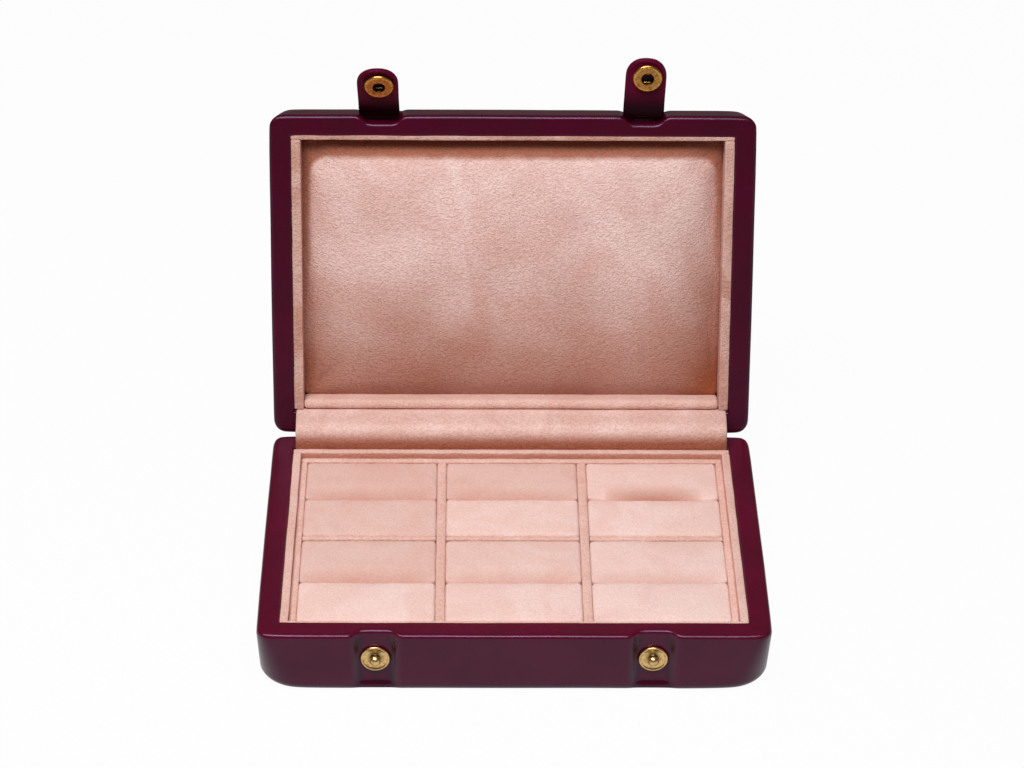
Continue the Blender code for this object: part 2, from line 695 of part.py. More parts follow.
def stud_profile(shank):
    """Ball, neck, dished flange and shank, from the ball's top down the outer side."""
    ball_z = STUD_HEIGHT - STUD_BALL_RADIUS
    neck_turn = math.acos(STUD_NECK_RADIUS / STUD_BALL_RADIUS)
    ball = arc_points((0, ball_z), STUD_BALL_RADIUS, QUARTER, -QUARTER - neck_turn, BALL_STEPS)
    rim_inner = STUD_RADIUS - STUD_RIM_WIDTH
    rim_top = STUD_RADIUS - STUD_RIM_WIDTH / 2
    return [(0, STUD_HEIGHT)] + ball[1:] + [
        (STUD_NECK_RADIUS, STUD_DISH),
        (rim_inner - STUD_RIM_HEIGHT / 2, STUD_DISH),
        (rim_inner, STUD_RIM_HEIGHT),
        (rim_top, STUD_RIM_HEIGHT),
        (STUD_RADIUS, STUD_DISH),
        (STUD_RADIUS, 0),
        (STUD_SHANK_RADIUS, 0),
        (STUD_SHANK_RADIUS, -shank),
        (0, -shank),
    ]


def add_studs():
    """The snap studs in the base's channels and the washers behind the wall."""
    seat = CASE_FRONT + CHANNEL_DEPTH - FIT_GAP
    wall_inside = CASE_FRONT + RIM_WIDTH - SKIN
    washer_front = wall_inside + FIT_GAP
    shank = washer_front + WASHER_THICKNESS - seat
    bore = STUD_SHANK_RADIUS + FIT_GAP
    ring = [(WASHER_RADIUS, WASHER_THICKNESS), (WASHER_RADIUS, 0), (bore, 0),
            (bore, WASHER_THICKNESS)]
    for side, x in CHANNEL_CENTRES.items():
        turned("snap_stud_" + side, stud_profile(shank), False, BRASS, None,
               (x, seat, STUD_Z), QUARTER)
        turned("stud_washer_" + side, ring, True, BRASS, None,
               (x, washer_front + WASHER_THICKNESS, STUD_Z), QUARTER)


def strap_outline():
    """The strap's flat outline in X and Z, from its root to its round end."""
    half = STRAP_WIDTH / 2
    end_centre = -STRAP_LENGTH + half
    end = arc_points((0, end_centre), half, 2 * QUARTER, 2 * QUARTER, STRAP_END_STEPS)
    return end + [(half, STRAP_THICKNESS / 2), (-half, STRAP_THICKNESS / 2)]


def strap_shape():
    """A flat tongue with a full-round root on its hinge line."""
    half = STRAP_THICKNESS / 2
    sides = [[(x, y, z) for x, z in strap_outline()] for y in (-half, half)]
    shape = loft(sides, is_tube=False)
    root = [
        edge for edge in shape.edges
        if all(vertex.co.z > 0 for vertex in edge.verts)
        and edge.verts[0].co.y == edge.verts[1].co.y
    ]
    bmesh.ops.bevel(shape, geom=root, offset=half - half / 10, segments=EDGE_STEPS,
                    profile=0.5, affect="EDGES", clamp_overlap=True)
    return shape


def socket_profile():
    """Socket flange facing the stud and its collar through the strap, as a loop."""
    collar = SOCKET_BORE + SOCKET_COLLAR
    return [
        (SOCKET_RADIUS - SOCKET_EDGE, SOCKET_HEIGHT),
        (SOCKET_RADIUS, SOCKET_HEIGHT - SOCKET_EDGE),
        (SOCKET_RADIUS, 0),
        (collar, 0),
        (collar, -STRAP_THICKNESS),
        (SOCKET_BORE, -STRAP_THICKNESS),
        (SOCKET_BORE, SOCKET_HEIGHT),
    ]


def cap_profile():
    """Domed cap, from its crown down its edge to its flat back."""
    dome = [
        (CAP_RADIUS * math.sin(QUARTER * step / DOME_STEPS),
         CAP_RIM + CAP_DOME * math.cos(QUARTER * step / DOME_STEPS))
        for step in range(1, DOME_STEPS + 1)
    ]
    return [(0, CAP_RIM + CAP_DOME)] + dome + [(CAP_RADIUS, 0), (0, 0)]


def add_strap_cutter(side, frame):
    """The rod that bores one strap for its socket's collar."""
    shape = bmesh.new()
    radius = SOCKET_BORE + SOCKET_COLLAR + FIT_GAP
    bmesh.ops.create_cone(shape, cap_ends=True, segments=TURN_STEPS,
                          radius1=radius, radius2=radius, depth=2 * STRAP_THICKNESS)
    mesh = bpy.data.meshes.new("strap_cutter_" + side)
    shape.to_mesh(mesh)
    shape.free()
    cutter = bpy.data.objects.new("strap_cutter_" + side, mesh)
    cutter.parent = frame
    cutter.location = (0, 0, -STRAP_SOCKET_REACH)
    cutter.rotation_euler = (QUARTER, 0, 0)
    cutter.hide_render = True
    cutter.display_type = "WIRE"
    CUTTERS.objects.link(cutter)
    return cutter


def add_strap(side, x):
    """One closing strap with its anchor on the lid, its socket and its cap."""
    root_z = LID.level(STRAP_ROOT_HEIGHT)
    axis_y = CASE_FRONT + STRAP_AXIS_DEPTH
    anchor_low = root_z + STRAP_THICKNESS / 2 + FIT_GAP
    anchor_floor = CASE_FRONT + CHANNEL_DEPTH - FIT_GAP
    half = STRAP_WIDTH / 2
    add_rounded_box("strap_anchor_" + side,
                    (x - half, axis_y - STRAP_THICKNESS / 2, anchor_low),
                    (x + half, anchor_floor, anchor_low + STRAP_ANCHOR),
                    STRAP_THICKNESS / 4, STRAP_LEATHER, LID_PIVOT)
    pivot = new_pivot("strap_axis_" + side, (x, axis_y - HINGE_Y, root_z - HINGE_Z),
                      LID_PIVOT, -STRAP_BENDS[side])
    strap = add_mesh("strap_" + side, strap_shape(), STRAP_LEATHER, pivot)
    hole = strap.modifiers.new("socket_hole", "BOOLEAN")
    hole.object = add_strap_cutter(side, pivot)
    hole.operation = "DIFFERENCE"
    hole.solver = "EXACT"
    inner_face = STRAP_THICKNESS / 2 + FIT_GAP
    turned("snap_socket_" + side, socket_profile(), True, BRASS, pivot,
           (0, inner_face, -STRAP_SOCKET_REACH), -QUARTER)
    turned("snap_cap_" + side, cap_profile(), False, BRASS, pivot,
           (0, -inner_face, -STRAP_SOCKET_REACH), QUARTER)


add_base_shell()
add_base_linings()
add_tray()
add_ring_pads()
add_studs()
add_lid_shell()
add_lid_linings()
add_lid_cushion()
add_hinge_cloth()
add_hinge_leather()
for strap_side, strap_x in CHANNEL_CENTRES.items():
    add_strap(strap_side, strap_x)
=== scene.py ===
import json
import logging
import math
from dataclasses import dataclass, field
from enum import Enum
from typing import Callable, Iterable, Sequence

import bmesh
import bpy
from mathutils import Matrix, Vector, noise


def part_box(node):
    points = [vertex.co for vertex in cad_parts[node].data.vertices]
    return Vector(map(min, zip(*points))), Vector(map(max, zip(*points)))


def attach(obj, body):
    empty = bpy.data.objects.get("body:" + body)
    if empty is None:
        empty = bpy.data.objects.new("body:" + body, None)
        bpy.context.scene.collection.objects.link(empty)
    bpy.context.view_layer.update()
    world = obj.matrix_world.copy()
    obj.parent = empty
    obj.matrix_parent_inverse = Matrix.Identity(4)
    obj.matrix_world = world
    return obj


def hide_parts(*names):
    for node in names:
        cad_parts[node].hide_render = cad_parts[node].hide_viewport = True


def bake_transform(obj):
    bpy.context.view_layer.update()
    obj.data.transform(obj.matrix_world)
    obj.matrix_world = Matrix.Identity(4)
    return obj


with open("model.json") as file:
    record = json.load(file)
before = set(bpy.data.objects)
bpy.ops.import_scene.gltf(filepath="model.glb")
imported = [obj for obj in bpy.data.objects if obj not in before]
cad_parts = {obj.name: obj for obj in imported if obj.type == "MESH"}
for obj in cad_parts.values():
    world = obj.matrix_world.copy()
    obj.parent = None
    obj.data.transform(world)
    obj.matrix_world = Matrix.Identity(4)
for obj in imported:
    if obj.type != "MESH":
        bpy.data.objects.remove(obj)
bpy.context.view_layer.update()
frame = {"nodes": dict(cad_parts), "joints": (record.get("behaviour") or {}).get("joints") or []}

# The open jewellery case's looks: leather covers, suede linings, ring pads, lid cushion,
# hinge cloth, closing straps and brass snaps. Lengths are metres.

LOG = logging.getLogger("jewellery_case")
QUARTER = math.pi / 2
MM = 0.001
TINY = 1e-5
FACING = 0.9
NOISE_SEED = 1
COLUMNS = ("left", "centre", "right")
noise.seed_set(NOISE_SEED)

Point = Sequence[float]
Profile = list[tuple[float, float]]
Colour = tuple[float, float, float, float]
Socket = bpy.types.NodeSocket
Piece = bpy.types.Object
Test = Callable[[Vector, Vector], bool]


class Side(Enum):
    """The case's two sides, by the sign of X."""

    LEFT = -1
    RIGHT = 1

    @property
    def word(self) -> str:
        """The side's name as the CAD nodes spell it."""
        return self.name.lower()


class Half(Enum):
    """The case's two halves."""

    BASE = "base"
    LID = "lid"


class Pick(Enum):
    """What an edit-mode selection is made of."""

    POINTS = "VERT"
    EDGES = "EDGE"
    FACES = "FACE"


# Rules


def shade(*seen: int) -> Colour:
    """Turn red, green and blue as they are seen, 0 to 255, into linear values."""
    parts = [value / 255 for value in seen]
    return (*[part / 12.92 if part <= 0.04045 else ((part + 0.055) / 1.055) ** 2.4
              for part in parts], 1.0)


def clamp(value: float, low: float = 0.0, high: float = 1.0) -> float:
    """Keep a value between two limits."""
    return min(high, max(low, value))


def ramp(value: float, low: float, high: float) -> float:
    """Rise softly from 0 to 1 between two values."""
    share = clamp((value - low) / (high - low))
    return share * share * (3 - 2 * share)


def waver(size: float, length: float, seed: float) -> Callable[[Vector], Vector]:
    """Make the rule of a slow, fixed hand-made unevenness.

    Args:
        size: The largest move.
        length: The distance over which it changes.
        seed: Shifts the pattern.

    Returns:
        The rule that moves a point.
    """
    shift = Vector((seed, seed, seed))
    return lambda co: co + noise.noise_vector(co / length + shift) * size


def is_upright(start: Vector, end: Vector) -> bool:
    """Tell whether an edge rises."""
    return abs(start.z - end.z) > TINY


# Places taken from the frame


def joint(name: str) -> dict:
    """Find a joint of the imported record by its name."""
    return next(item for item in frame["joints"] if item["name"] == name)


LID_JOINT = joint("lid_hinge")
LID_ANGLE = math.radians(LID_JOINT["range_deg"][1])
LID_LINE = Matrix.Translation(LID_JOINT["pos_m"])
OPENED = LID_LINE @ Matrix.Rotation(-LID_ANGLE, 4, "X") @ LID_LINE.inverted()
SHUT = OPENED.inverted()


def box_of(places: Iterable[Point]) -> list[Vector]:
    """Find the lowest and the highest corner of some places."""
    rows = list(zip(*places))
    return [Vector([pick(row) for row in rows]) for pick in (min, max)]


def shut_box(node: str) -> list[Vector]:
    """Find a lid node's lowest and highest corner as they are while the lid is shut."""
    return box_of(SHUT @ vertex.co for vertex in frame["nodes"][node].data.vertices)


# Material building


class NodeSheet:
    """A node tree that is being laid out."""

    def __init__(self, tree: bpy.types.NodeTree) -> None:
        """Take up a tree."""
        self.tree = tree

    def fill(self, node: bpy.types.Node, inputs: dict) -> None:
        """Fill a node's inputs.

        Args:
            node: The node.
            inputs: Input name or number to a socket that is linked or a value that is set.
        """
        for key, value in inputs.items():
            if isinstance(value, Socket):
                self.tree.links.new(value, node.inputs[key])
            else:
                node.inputs[key].default_value = value

    def add(self, kind: str, inputs: dict | None = None, **settings: object) -> bpy.types.Node:
        """Add a node, set its options and fill its inputs.

        Args:
            kind: Node type without its common prefix.
            inputs: What its inputs are filled with.
            **settings: Options of the node itself.

        Returns:
            The new node.
        """
        node = self.tree.nodes.new("ShaderNode" + kind)
        for name, value in settings.items():
            setattr(node, name, value)
        self.fill(node, inputs or {})
        return node

    def noise(self, place: Socket, scale: Socket | float, detail: float = 2.0,
              distortion: float = 0.0) -> Socket:
        """Add a noise texture and give its plain value."""
        inputs = {"Vector": place, "Scale": scale, "Detail": detail, "Distortion": distortion}
        return self.add("TexNoise", inputs).outputs["Fac"]

    def cells(self, place: Socket, scale: Socket, feature: str = "F1") -> Socket:
        """Add a cell texture and give its distance."""
        inputs = {"Vector": place, "Scale": scale, "Randomness": 1.0}
        return self.add("TexVoronoi", inputs, feature=feature).outputs["Distance"]

    def remap(self, value: Socket, low: float, high: float, to_low: float = 0.0,
              to_high: float = 1.0) -> Socket:
        """Spread a range of a value over another range, with soft ends."""
        inputs = {"Value": value, 1: low, 2: high, 3: to_low, 4: to_high}
        return self.add("MapRange", inputs, interpolation_type="SMOOTHSTEP").outputs["Result"]

    def math(self, operation: str, first: Socket | float, second: Socket | float) -> Socket:
        """Add a math node that combines two values by the given operation."""
        return self.add("Math", {0: first, 1: second}, operation=operation).outputs[0]

    def times(self, first: Socket, second: Socket | float) -> Socket:
        """Multiply two values."""
        return self.math("MULTIPLY", first, second)

    def scaled(self, vector: Socket, factors: Point) -> Socket:
        """Multiply a place or a colour part by part."""
        inputs = {0: vector, 1: factors}
        return self.add("VectorMath", inputs, operation="MULTIPLY").outputs["Vector"]

    def mix(self, share: Socket, first: Socket | Colour, second: Socket | Colour) -> Socket:
        """Blend two colours by a share."""
        return self.add("Mix", {0: share, 6: first, 7: second}, data_type="RGBA").outputs[2]


class MaterialSheet(NodeSheet):
    """A material that is being laid out on its Principled shader."""

    def __init__(self, name: str) -> None:
        """Start the material and read the piece's own place.

        Args:
            name: The material's name.
        """
        self.material = bpy.data.materials.new(name)
        self.material.use_nodes = True
        super().__init__(self.material.node_tree)
        self.shader = self.tree.nodes["Principled BSDF"]
        self.place = self.add("TexCoord").outputs["Object"]

    def stroke(self) -> Socket:
        """Read the piece's own point attribute, 0 to 1: its share of painted shade, on some suede
        also of a deeper nap tone.
        """
        return self.add("Attribute", attribute_name="stroke").outputs["Fac"]

    def effect(self, group: bpy.types.NodeTree, first: float, second: float) -> Sequence[Socket]:
        """Put in an effect group, reading the piece's own place, and give its outputs."""
        inputs = {"Place": self.place, 1: first, 2: second}
        return self.add("Group", inputs, node_tree=group).outputs

    def close(self, height: Socket, relief: float, distance: float,
              inputs: dict) -> bpy.types.Material:
        """Give the material its bump and fill its shader.

        Args:
            height: The surface's height.
            relief: The bump's strength.
            distance: The bump's depth.
            inputs: The shader's other inputs.

        Returns:
            The material.
        """
        bump = self.add("Bump", {"Height": height, "Strength": relief, "Distance": distance})
        self.fill(self.shader, {"Normal": bump.outputs["Normal"], **inputs})
        return self.material


def new_group(name: str, *titles: str) -> tuple[NodeSheet, Sequence[Socket]]:
    """Start a node group that reads a place and two numbers.

    Args:
        name: The group's name.
        *titles: Names of its number inputs.

    Returns:
        The group's sheet and its inputs, the place first.
    """
    tree = bpy.data.node_groups.new(name, "ShaderNodeTree")
    tree.interface.new_socket("Place", in_out="INPUT", socket_type="NodeSocketVector")
    for title in titles:
        tree.interface.new_socket(title, in_out="INPUT", socket_type="NodeSocketFloat")
    return NodeSheet(tree), list(tree.nodes.new("NodeGroupInput").outputs)[:3]


def close_group(sheet: NodeSheet, **results: Socket) -> bpy.types.NodeTree:
    """Give a group its number outputs.

    Args:
        sheet: The group's sheet.
        **results: Output name to the socket that it gives.

    Returns:
        The node group.
    """
    for title in results:
        sheet.tree.interface.new_socket(title, in_out="OUTPUT", socket_type="NodeSocketFloat")
    sheet.fill(sheet.tree.nodes.new("NodeGroupOutput"), results)
    return sheet.tree


def suede_nap() -> bpy.types.NodeTree:
    """Make the group of brushed nap: fibre height, flecks and brushed patches.

    Returns:
        The node group.
    """
    sheet, (place, fibre, patch) = new_group("suede_nap", "Fibre Scale", "Patch Scale")
    lying = sheet.scaled(place, (0.8, 1.0, 1.0))
    fibres = sheet.noise(lying, fibre, 2.0, 0.5)
    tufts = sheet.noise(lying, sheet.times(fibre, 0.45), 1.0, 0.3)
    patches = sheet.noise(place, patch, 3.0, 1.4)
    return close_group(
        sheet, Height=sheet.math("ADD", sheet.times(fibres, 0.7), sheet.times(tufts, 0.3)),
        Fleck=sheet.remap(fibres, 0.36, 0.6), Patch=sheet.remap(patches, 0.36, 0.64))


def leather_grain() -> bpy.types.NodeTree:
    """Make the group of smooth leather: pore height, pore mask and slow colour drift.

    Returns:
        The node group.
    """
    sheet, (place, pore, drift) = new_group("leather_grain", "Pore Scale", "Drift Scale")
    creases = sheet.remap(sheet.cells(place, pore, "DISTANCE_TO_EDGE"), 0.0, 0.16)
    swell = sheet.noise(place, sheet.times(pore, 0.3))
    dots = sheet.cells(place, sheet.times(pore, 0.7))
    return close_group(
        sheet, Height=sheet.math("ADD", sheet.times(creases, 0.35), swell),
        Pores=sheet.remap(dots, 0.05, 0.2, 1.0, 0.0),
        Drift=sheet.remap(sheet.noise(place, drift, 3.0, 0.5), 0.3, 0.7))


def metal_wear() -> bpy.types.NodeTree:
    """Make the group of worn metal: fine scratches and dull spots.

    Returns:
        The node group.
    """
    sheet, (place, scratch, spot) = new_group("metal_wear", "Scratch Scale", "Spot Scale")
    return close_group(sheet, Height=sheet.noise(place, scratch, 4.0, 2.0),
                       Spots=sheet.remap(sheet.noise(place, spot, 3.0), 0.42, 0.7))


NAP = suede_nap()
GRAIN = leather_grain()
METAL = metal_wear()


@dataclass(frozen=True)
class LeatherFinish:
    """Smooth dyed leather with a fine pore grain, mixed towards a near-black painted shade where
    a piece marks it.
    """

    name: str
    tone: Colour
    deep: Colour
    # Near-black painted shade, mixed in by the piece's own point attribute.
    worn: Colour = (0.002, 0.0002, 0.0008, 1.0)
    roughness: float = 0.23
    drift: float = 0.04
    specular: float = 0.46
    tint: Colour = (0.72, 0.66, 1.0, 1.0)
    relief: float = 0.05
    distance: float = 0.3 * MM
    pore_scale: float = 1500.0
    drift_scale: float = 45.0
    pore_share: float = 0.25

    def build(self) -> bpy.types.Material:
        """Make the leather's material.

        Returns:
            The material.
        """
        sheet = MaterialSheet(self.name)
        grain = sheet.effect(GRAIN, self.pore_scale, self.drift_scale)
        tone = sheet.mix(grain["Drift"], self.deep, self.tone)
        tone = sheet.mix(sheet.times(grain["Pores"], self.pore_share), tone, self.deep)
        rough = sheet.remap(grain["Drift"], 0, 1, self.roughness + self.drift,
                            self.roughness - self.drift)
        return sheet.close(grain["Height"], self.relief, self.distance, {
            # The base colour turns to the painted shade by the point attribute.
            "Base Color": sheet.mix(sheet.stroke(), tone, self.worn), "Roughness": rough,
            "Specular IOR Level": self.specular, "Specular Tint": self.tint})


@dataclass(frozen=True)
class SuedeFinish:
    """Brushed suede: a soft nap in brushed patches, mixed towards a deeper tone where a piece
    marks it, mostly as painted shade.
    """

    name: str
    light: Colour
    deep: Colour
    # Deeper tone: mostly painted shade, in places a brushed nap tone.
    pressed: Colour = shade(204, 138, 116)
    hollow: tuple[float, float, float] = (0.72, 0.6, 0.56)
    fleck: float = 0.55
    relief: float = 1.0
    distance: float = 0.75 * MM
    fibre_scale: float = 1500.0
    patch_scale: float = 38.0
    sheen: float = 0.15
    sheen_tint: Colour = (1.0, 0.9, 0.87, 1.0)

    def build(self) -> bpy.types.Material:
        """Make the suede's material.

        Returns:
            The material.
        """
        sheet = MaterialSheet(self.name)
        nap = sheet.effect(NAP, self.fibre_scale, self.patch_scale)
        brushed = sheet.mix(nap["Patch"], self.deep, self.light)
        # Mix towards the deeper tone, mostly painted shade, by the point attribute.
        brushed = sheet.mix(sheet.stroke(), brushed, self.pressed)
        hollows = sheet.times(sheet.math("SUBTRACT", 1.0, nap["Fleck"]), self.fleck)
        tone = sheet.mix(hollows, brushed, sheet.scaled(brushed, self.hollow))
        return sheet.close(nap["Height"], self.relief, self.distance, {
            "Base Color": tone, "Roughness": 0.95, "Specular IOR Level": 0.1,
            "Sheen Weight": self.sheen, "Sheen Roughness": 0.5, "Sheen Tint": self.sheen_tint})


@dataclass(frozen=True)
class BrassFinish:
    """Turned brass with fine scratches and dull spots, mixed towards a dark painted shade where a
    piece marks it.
    """

    name: str
    bright: Colour
    dull: Colour
    # Dark painted shade, mixed in by the piece's own point attribute.
    tarnish: Colour = (0.03, 0.014, 0.006, 1.0)
    roughness: float = 0.24
    spread: float = 0.1
    relief: float = 0.02
    distance: float = 0.1 * MM
    scratch_scale: float = 1800.0
    spot_scale: float = 900.0

    def build(self) -> bpy.types.Material:
        """Make the brass's material.

        Returns:
            The material.
        """
        sheet = MaterialSheet(self.name)
        wear = sheet.effect(METAL, self.scratch_scale, self.spot_scale)
        tone = sheet.mix(wear["Spots"], self.bright, self.dull)
        rough = sheet.remap(wear["Spots"], 0, 1, self.roughness, self.roughness + self.spread)
        return sheet.close(wear["Height"], self.relief, self.distance, {
            "Base Color": sheet.mix(sheet.stroke(), tone, self.tarnish), "Roughness": rough,
            "Metallic": 1.0})


@dataclass(frozen=True)
class BoardFinish:
    """Grey pressed board with a fibrous face."""

    name: str
    tone: Colour
    dark: tuple[float, float, float] = (0.7, 0.7, 0.68)
    fibre_scale: float = 900.0
    relief: float = 0.2
    distance: float = 0.2 * MM

    def build(self) -> bpy.types.Material:
        """Make the board's material.

        Returns:
            The material.
        """
        sheet = MaterialSheet(self.name)
        fibres = sheet.noise(sheet.place, self.fibre_scale, 4.0, 1.0)
        dark = (*[part * share for part, share in zip(self.tone, self.dark)], 1.0)
        return sheet.close(fibres, self.relief, self.distance, {
            "Base Color": sheet.mix(fibres, dark, self.tone), "Roughness": 0.9})


class Finish(Enum):
    """Every finish of the case, each with its material."""

    COVER = LeatherFinish("burgundy_leather_cover", shade(94, 5, 37), shade(83, 3, 31))
    # A darker copy of the cover leather for the lid: painted shade.
    LID_COVER = LeatherFinish("burgundy_leather_lid", shade(76, 4, 31), shade(66, 2, 25),
                              specular=0.36)
    STRAP = LeatherFinish("burgundy_leather_strap", shade(98, 5, 44), shade(84, 3, 35),
                          roughness=0.33, specular=0.15, tint=(1.0, 0.5, 0.66, 1.0), relief=0.08)
    STRIP = LeatherFinish("burgundy_leather_hinge", shade(82, 9, 34), shade(70, 6, 27),
                          roughness=0.5, specular=0.3, relief=0.12)
    LINING = SuedeFinish("peach_suede_lining", shade(246, 205, 193), shade(240, 194, 180),
                         fleck=0.45)
    # A darker copy of the lining suede for the lid: painted shade.
    LID_LINING = SuedeFinish("peach_suede_lid_lining", shade(230, 186, 174),
                             shade(212, 160, 144))
    PAD = SuedeFinish("peach_suede_pad", shade(255, 223, 215), shade(251, 213, 203),
                      fleck=0.28, relief=0.8, fibre_scale=1900.0)
    # Third colour: the cushion's deeper tone, mostly painted shade.
    CUSHION = SuedeFinish("peach_suede_cushion", shade(255, 222, 215), shade(247, 206, 197),
                          shade(168, 94, 62), fleck=0.52, fibre_scale=1600.0, patch_scale=30.0)
    # Third colour: the cloth's deeper tone, used as painted shade.
    CLOTH = SuedeFinish("peach_suede_hinge", shade(254, 218, 209), shade(244, 202, 191),
                        shade(172, 104, 80), fleck=0.5)
    BRASS = BrassFinish("turned_brass", shade(236, 200, 138), shade(206, 166, 104),
                        roughness=0.28, relief=0.07)
    # A darker copy of the brass for the socket and its wires: painted shade.
    SOCKET_BRASS = BrassFinish("socket_brass", shade(216, 158, 84), shade(176, 118, 54))
    BOARD = BoardFinish("pressed_board", shade(142, 134, 124))

    def __init__(self, look: LeatherFinish | SuedeFinish | BrassFinish | BoardFinish) -> None:
        """Build the finish's material."""
        self.material = look.build()


# Shaping tools


class Workpiece:
    """One mesh object that is shaped in edit mode and then finished."""

    def __init__(self, name: str) -> None:
        """Take up the object that was just added and name it."""
        self.item: Piece = bpy.context.active_object
        self.item.name = self.item.data.name = name

    @staticmethod
    def clear() -> None:
        """Leave edit mode with nothing selected."""
        if bpy.context.mode != "OBJECT":
            bpy.ops.object.mode_set(mode="OBJECT")
        bpy.ops.object.select_all(action="DESELECT")

    @classmethod
    def block(cls, name: str, low: Point, high: Point) -> "Workpiece":
        """Start from a box between two corners.

        Args:
            name: The piece's name.
            low: The lowest corner.
            high: The highest corner.

        Returns:
            The piece.
        """
        cls.clear()
        centre = [(a + b) / 2 for a, b in zip(low, high)]
        size = [b - a for a, b in zip(low, high)]
        bpy.ops.mesh.primitive_cube_add(size=1, location=centre, scale=size)
        bpy.ops.object.transform_apply(location=True, rotation=True, scale=True)
        return cls(name)

    @classmethod
    def turned(cls, name: str, profile: Profile, sides: int = 48,
               is_loop: bool = False) -> "Workpiece":
        """Turn a piece on the Z axis by extruding a ring along a profile.

        Args:
            name: The piece's name.
            profile: Radius and height of each ring, in order.
            sides: Steps round the axis.
            is_loop: Whether the last ring joins the first, for a piece with a bore.

        Returns:
            The turned piece, closed.
        """
        cls.clear()
        rings = profile + profile[:1] if is_loop else profile
        bpy.ops.mesh.primitive_circle_add(vertices=sides, radius=rings[0][0],
                                          fill_type="NOTHING" if is_loop else "NGON",
                                          location=(0, 0, rings[0][1]))
        bpy.ops.object.transform_apply(location=True, rotation=True, scale=True)
        piece = cls(name)
        piece.pick(Pick.EDGES if is_loop else Pick.FACES, lambda part: True)
        for (radius, height), (next_radius, next_height) in zip(rings, rings[1:]):
            piece.extrude((0, 0, next_height - height))
            ratio = next_radius / radius
            bpy.ops.transform.resize(value=(ratio, ratio, 1), center_override=(0, 0, next_height))
        piece.mend()
        return piece

    def leave(self) -> None:
        """Leave edit mode with this piece selected and active."""
        self.clear()
        self.item.select_set(True)
        bpy.context.view_layer.objects.active = self.item

    def edit(self) -> None:
        """Enter edit mode on this piece alone."""
        if bpy.context.mode != "EDIT_MESH" or bpy.context.active_object != self.item:
            self.leave()
            bpy.ops.object.mode_set(mode="EDIT")

    def pick(self, kind: Pick, test: Callable[[object], bool]) -> None:
        """Select the points, edges or faces that pass a test, and nothing else.

        Args:
            kind: What is selected.
            test: The test on each bmesh element.
        """
        self.edit()
        bpy.ops.mesh.select_mode(type=kind.value)
        bpy.ops.mesh.select_all(action="DESELECT")
        shape = bmesh.from_edit_mesh(self.item.data)
        shape.select_mode = {kind.value}
        shape.normal_update()
        parts = {Pick.POINTS: shape.verts, Pick.EDGES: shape.edges, Pick.FACES: shape.faces}[kind]
        for part in [part for part in parts if test(part)]:
            part.select_set(True)
        shape.select_flush_mode()
        bmesh.update_edit_mesh(self.item.data)

    def pick_points(self, test: Callable[[Vector], bool]) -> None:
        """Select points by their place."""
        self.pick(Pick.POINTS, lambda vertex: test(vertex.co))

    def pick_edges(self, test: Test) -> None:
        """Select edges by the places of their two ends."""
        self.pick(Pick.EDGES, lambda edge: test(edge.verts[0].co, edge.verts[1].co))

    def pick_faces(self, test: Test) -> None:
        """Select faces by their centre and normal."""
        self.pick(Pick.FACES, lambda face: test(face.calc_center_median(), face.normal))

    def round_edges(self, width: float, segments: int, test: Test) -> None:
        """Round the edges that pass a test on the places of their two ends."""
        self.pick_edges(test)
        bpy.ops.mesh.bevel(offset=width, segments=segments, profile=0.5, affect="EDGES",
                           offset_type="OFFSET", clamp_overlap=True)

    def inset(self, width: float, depth: float = 0.0) -> None:
        """Inset the selected faces by an even width."""
        bpy.ops.mesh.inset(thickness=width, depth=depth, use_even_offset=True)

    def extrude(self, move: Point) -> None:
        """Extrude the selection along a way."""
        bpy.ops.mesh.extrude_region_move(TRANSFORM_OT_translate={"value": tuple(move)})

    def cut(self, point: Point, normal: Point) -> None:
        """Cut the whole piece with a plane, keeping both sides."""
        self.edit()
        bpy.ops.mesh.select_all(action="SELECT")
        bpy.ops.mesh.bisect(plane_co=tuple(point), plane_no=tuple(normal), use_fill=False)

    def mend(self) -> None:
        """Merge doubles and point every face outwards."""
        self.edit()
        bpy.ops.mesh.select_all(action="SELECT")
        bpy.ops.mesh.remove_doubles(threshold=TINY / 2)
        bpy.ops.mesh.normals_make_consistent(inside=False)

    def modify(self, kind: str, **settings: object) -> None:
        """Add a modifier and apply it.

        Args:
            kind: The modifier's type.
            **settings: Its options.
        """
        self.leave()
        modifier = self.item.modifiers.new(kind.lower(), kind)
        for name, value in settings.items():
            setattr(modifier, name, value)
        bpy.ops.object.modifier_apply(modifier=modifier.name)

    def soften(self, levels: int) -> None:
        """Apply a subdivision surface."""
        self.modify("SUBSURF", levels=levels, render_levels=levels)

    def thicken(self, thickness: float, offset: float) -> None:
        """Give a sheet its thickness."""
        self.modify("SOLIDIFY", thickness=thickness, offset=offset, use_even_offset=True)

    def place(self, matrix: Matrix) -> None:
        """Carry the piece to its place and apply that to its mesh."""
        self.leave()
        self.item.matrix_world = matrix @ self.item.matrix_world
        bpy.ops.object.transform_apply(location=True, rotation=True, scale=True)

    def reshape(self, move: Callable[[Vector], Vector]) -> None:
        """Move every point by a rule, as when a soft piece is pushed by hand."""
        self.leave()
        for vertex in self.item.data.vertices:
            vertex.co = move(vertex.co)
        self.item.data.update()

    def stroke(self, depth: Callable[[Vector], float]) -> None:
        """Note each point's share of painted shade, on some suede also of a deeper nap tone, by
        its place.
        """
        self.leave()
        layer = self.item.data.attributes.new("stroke", "FLOAT", "POINT")
        layer.data.foreach_set("value", [depth(point.co) for point in self.item.data.vertices])

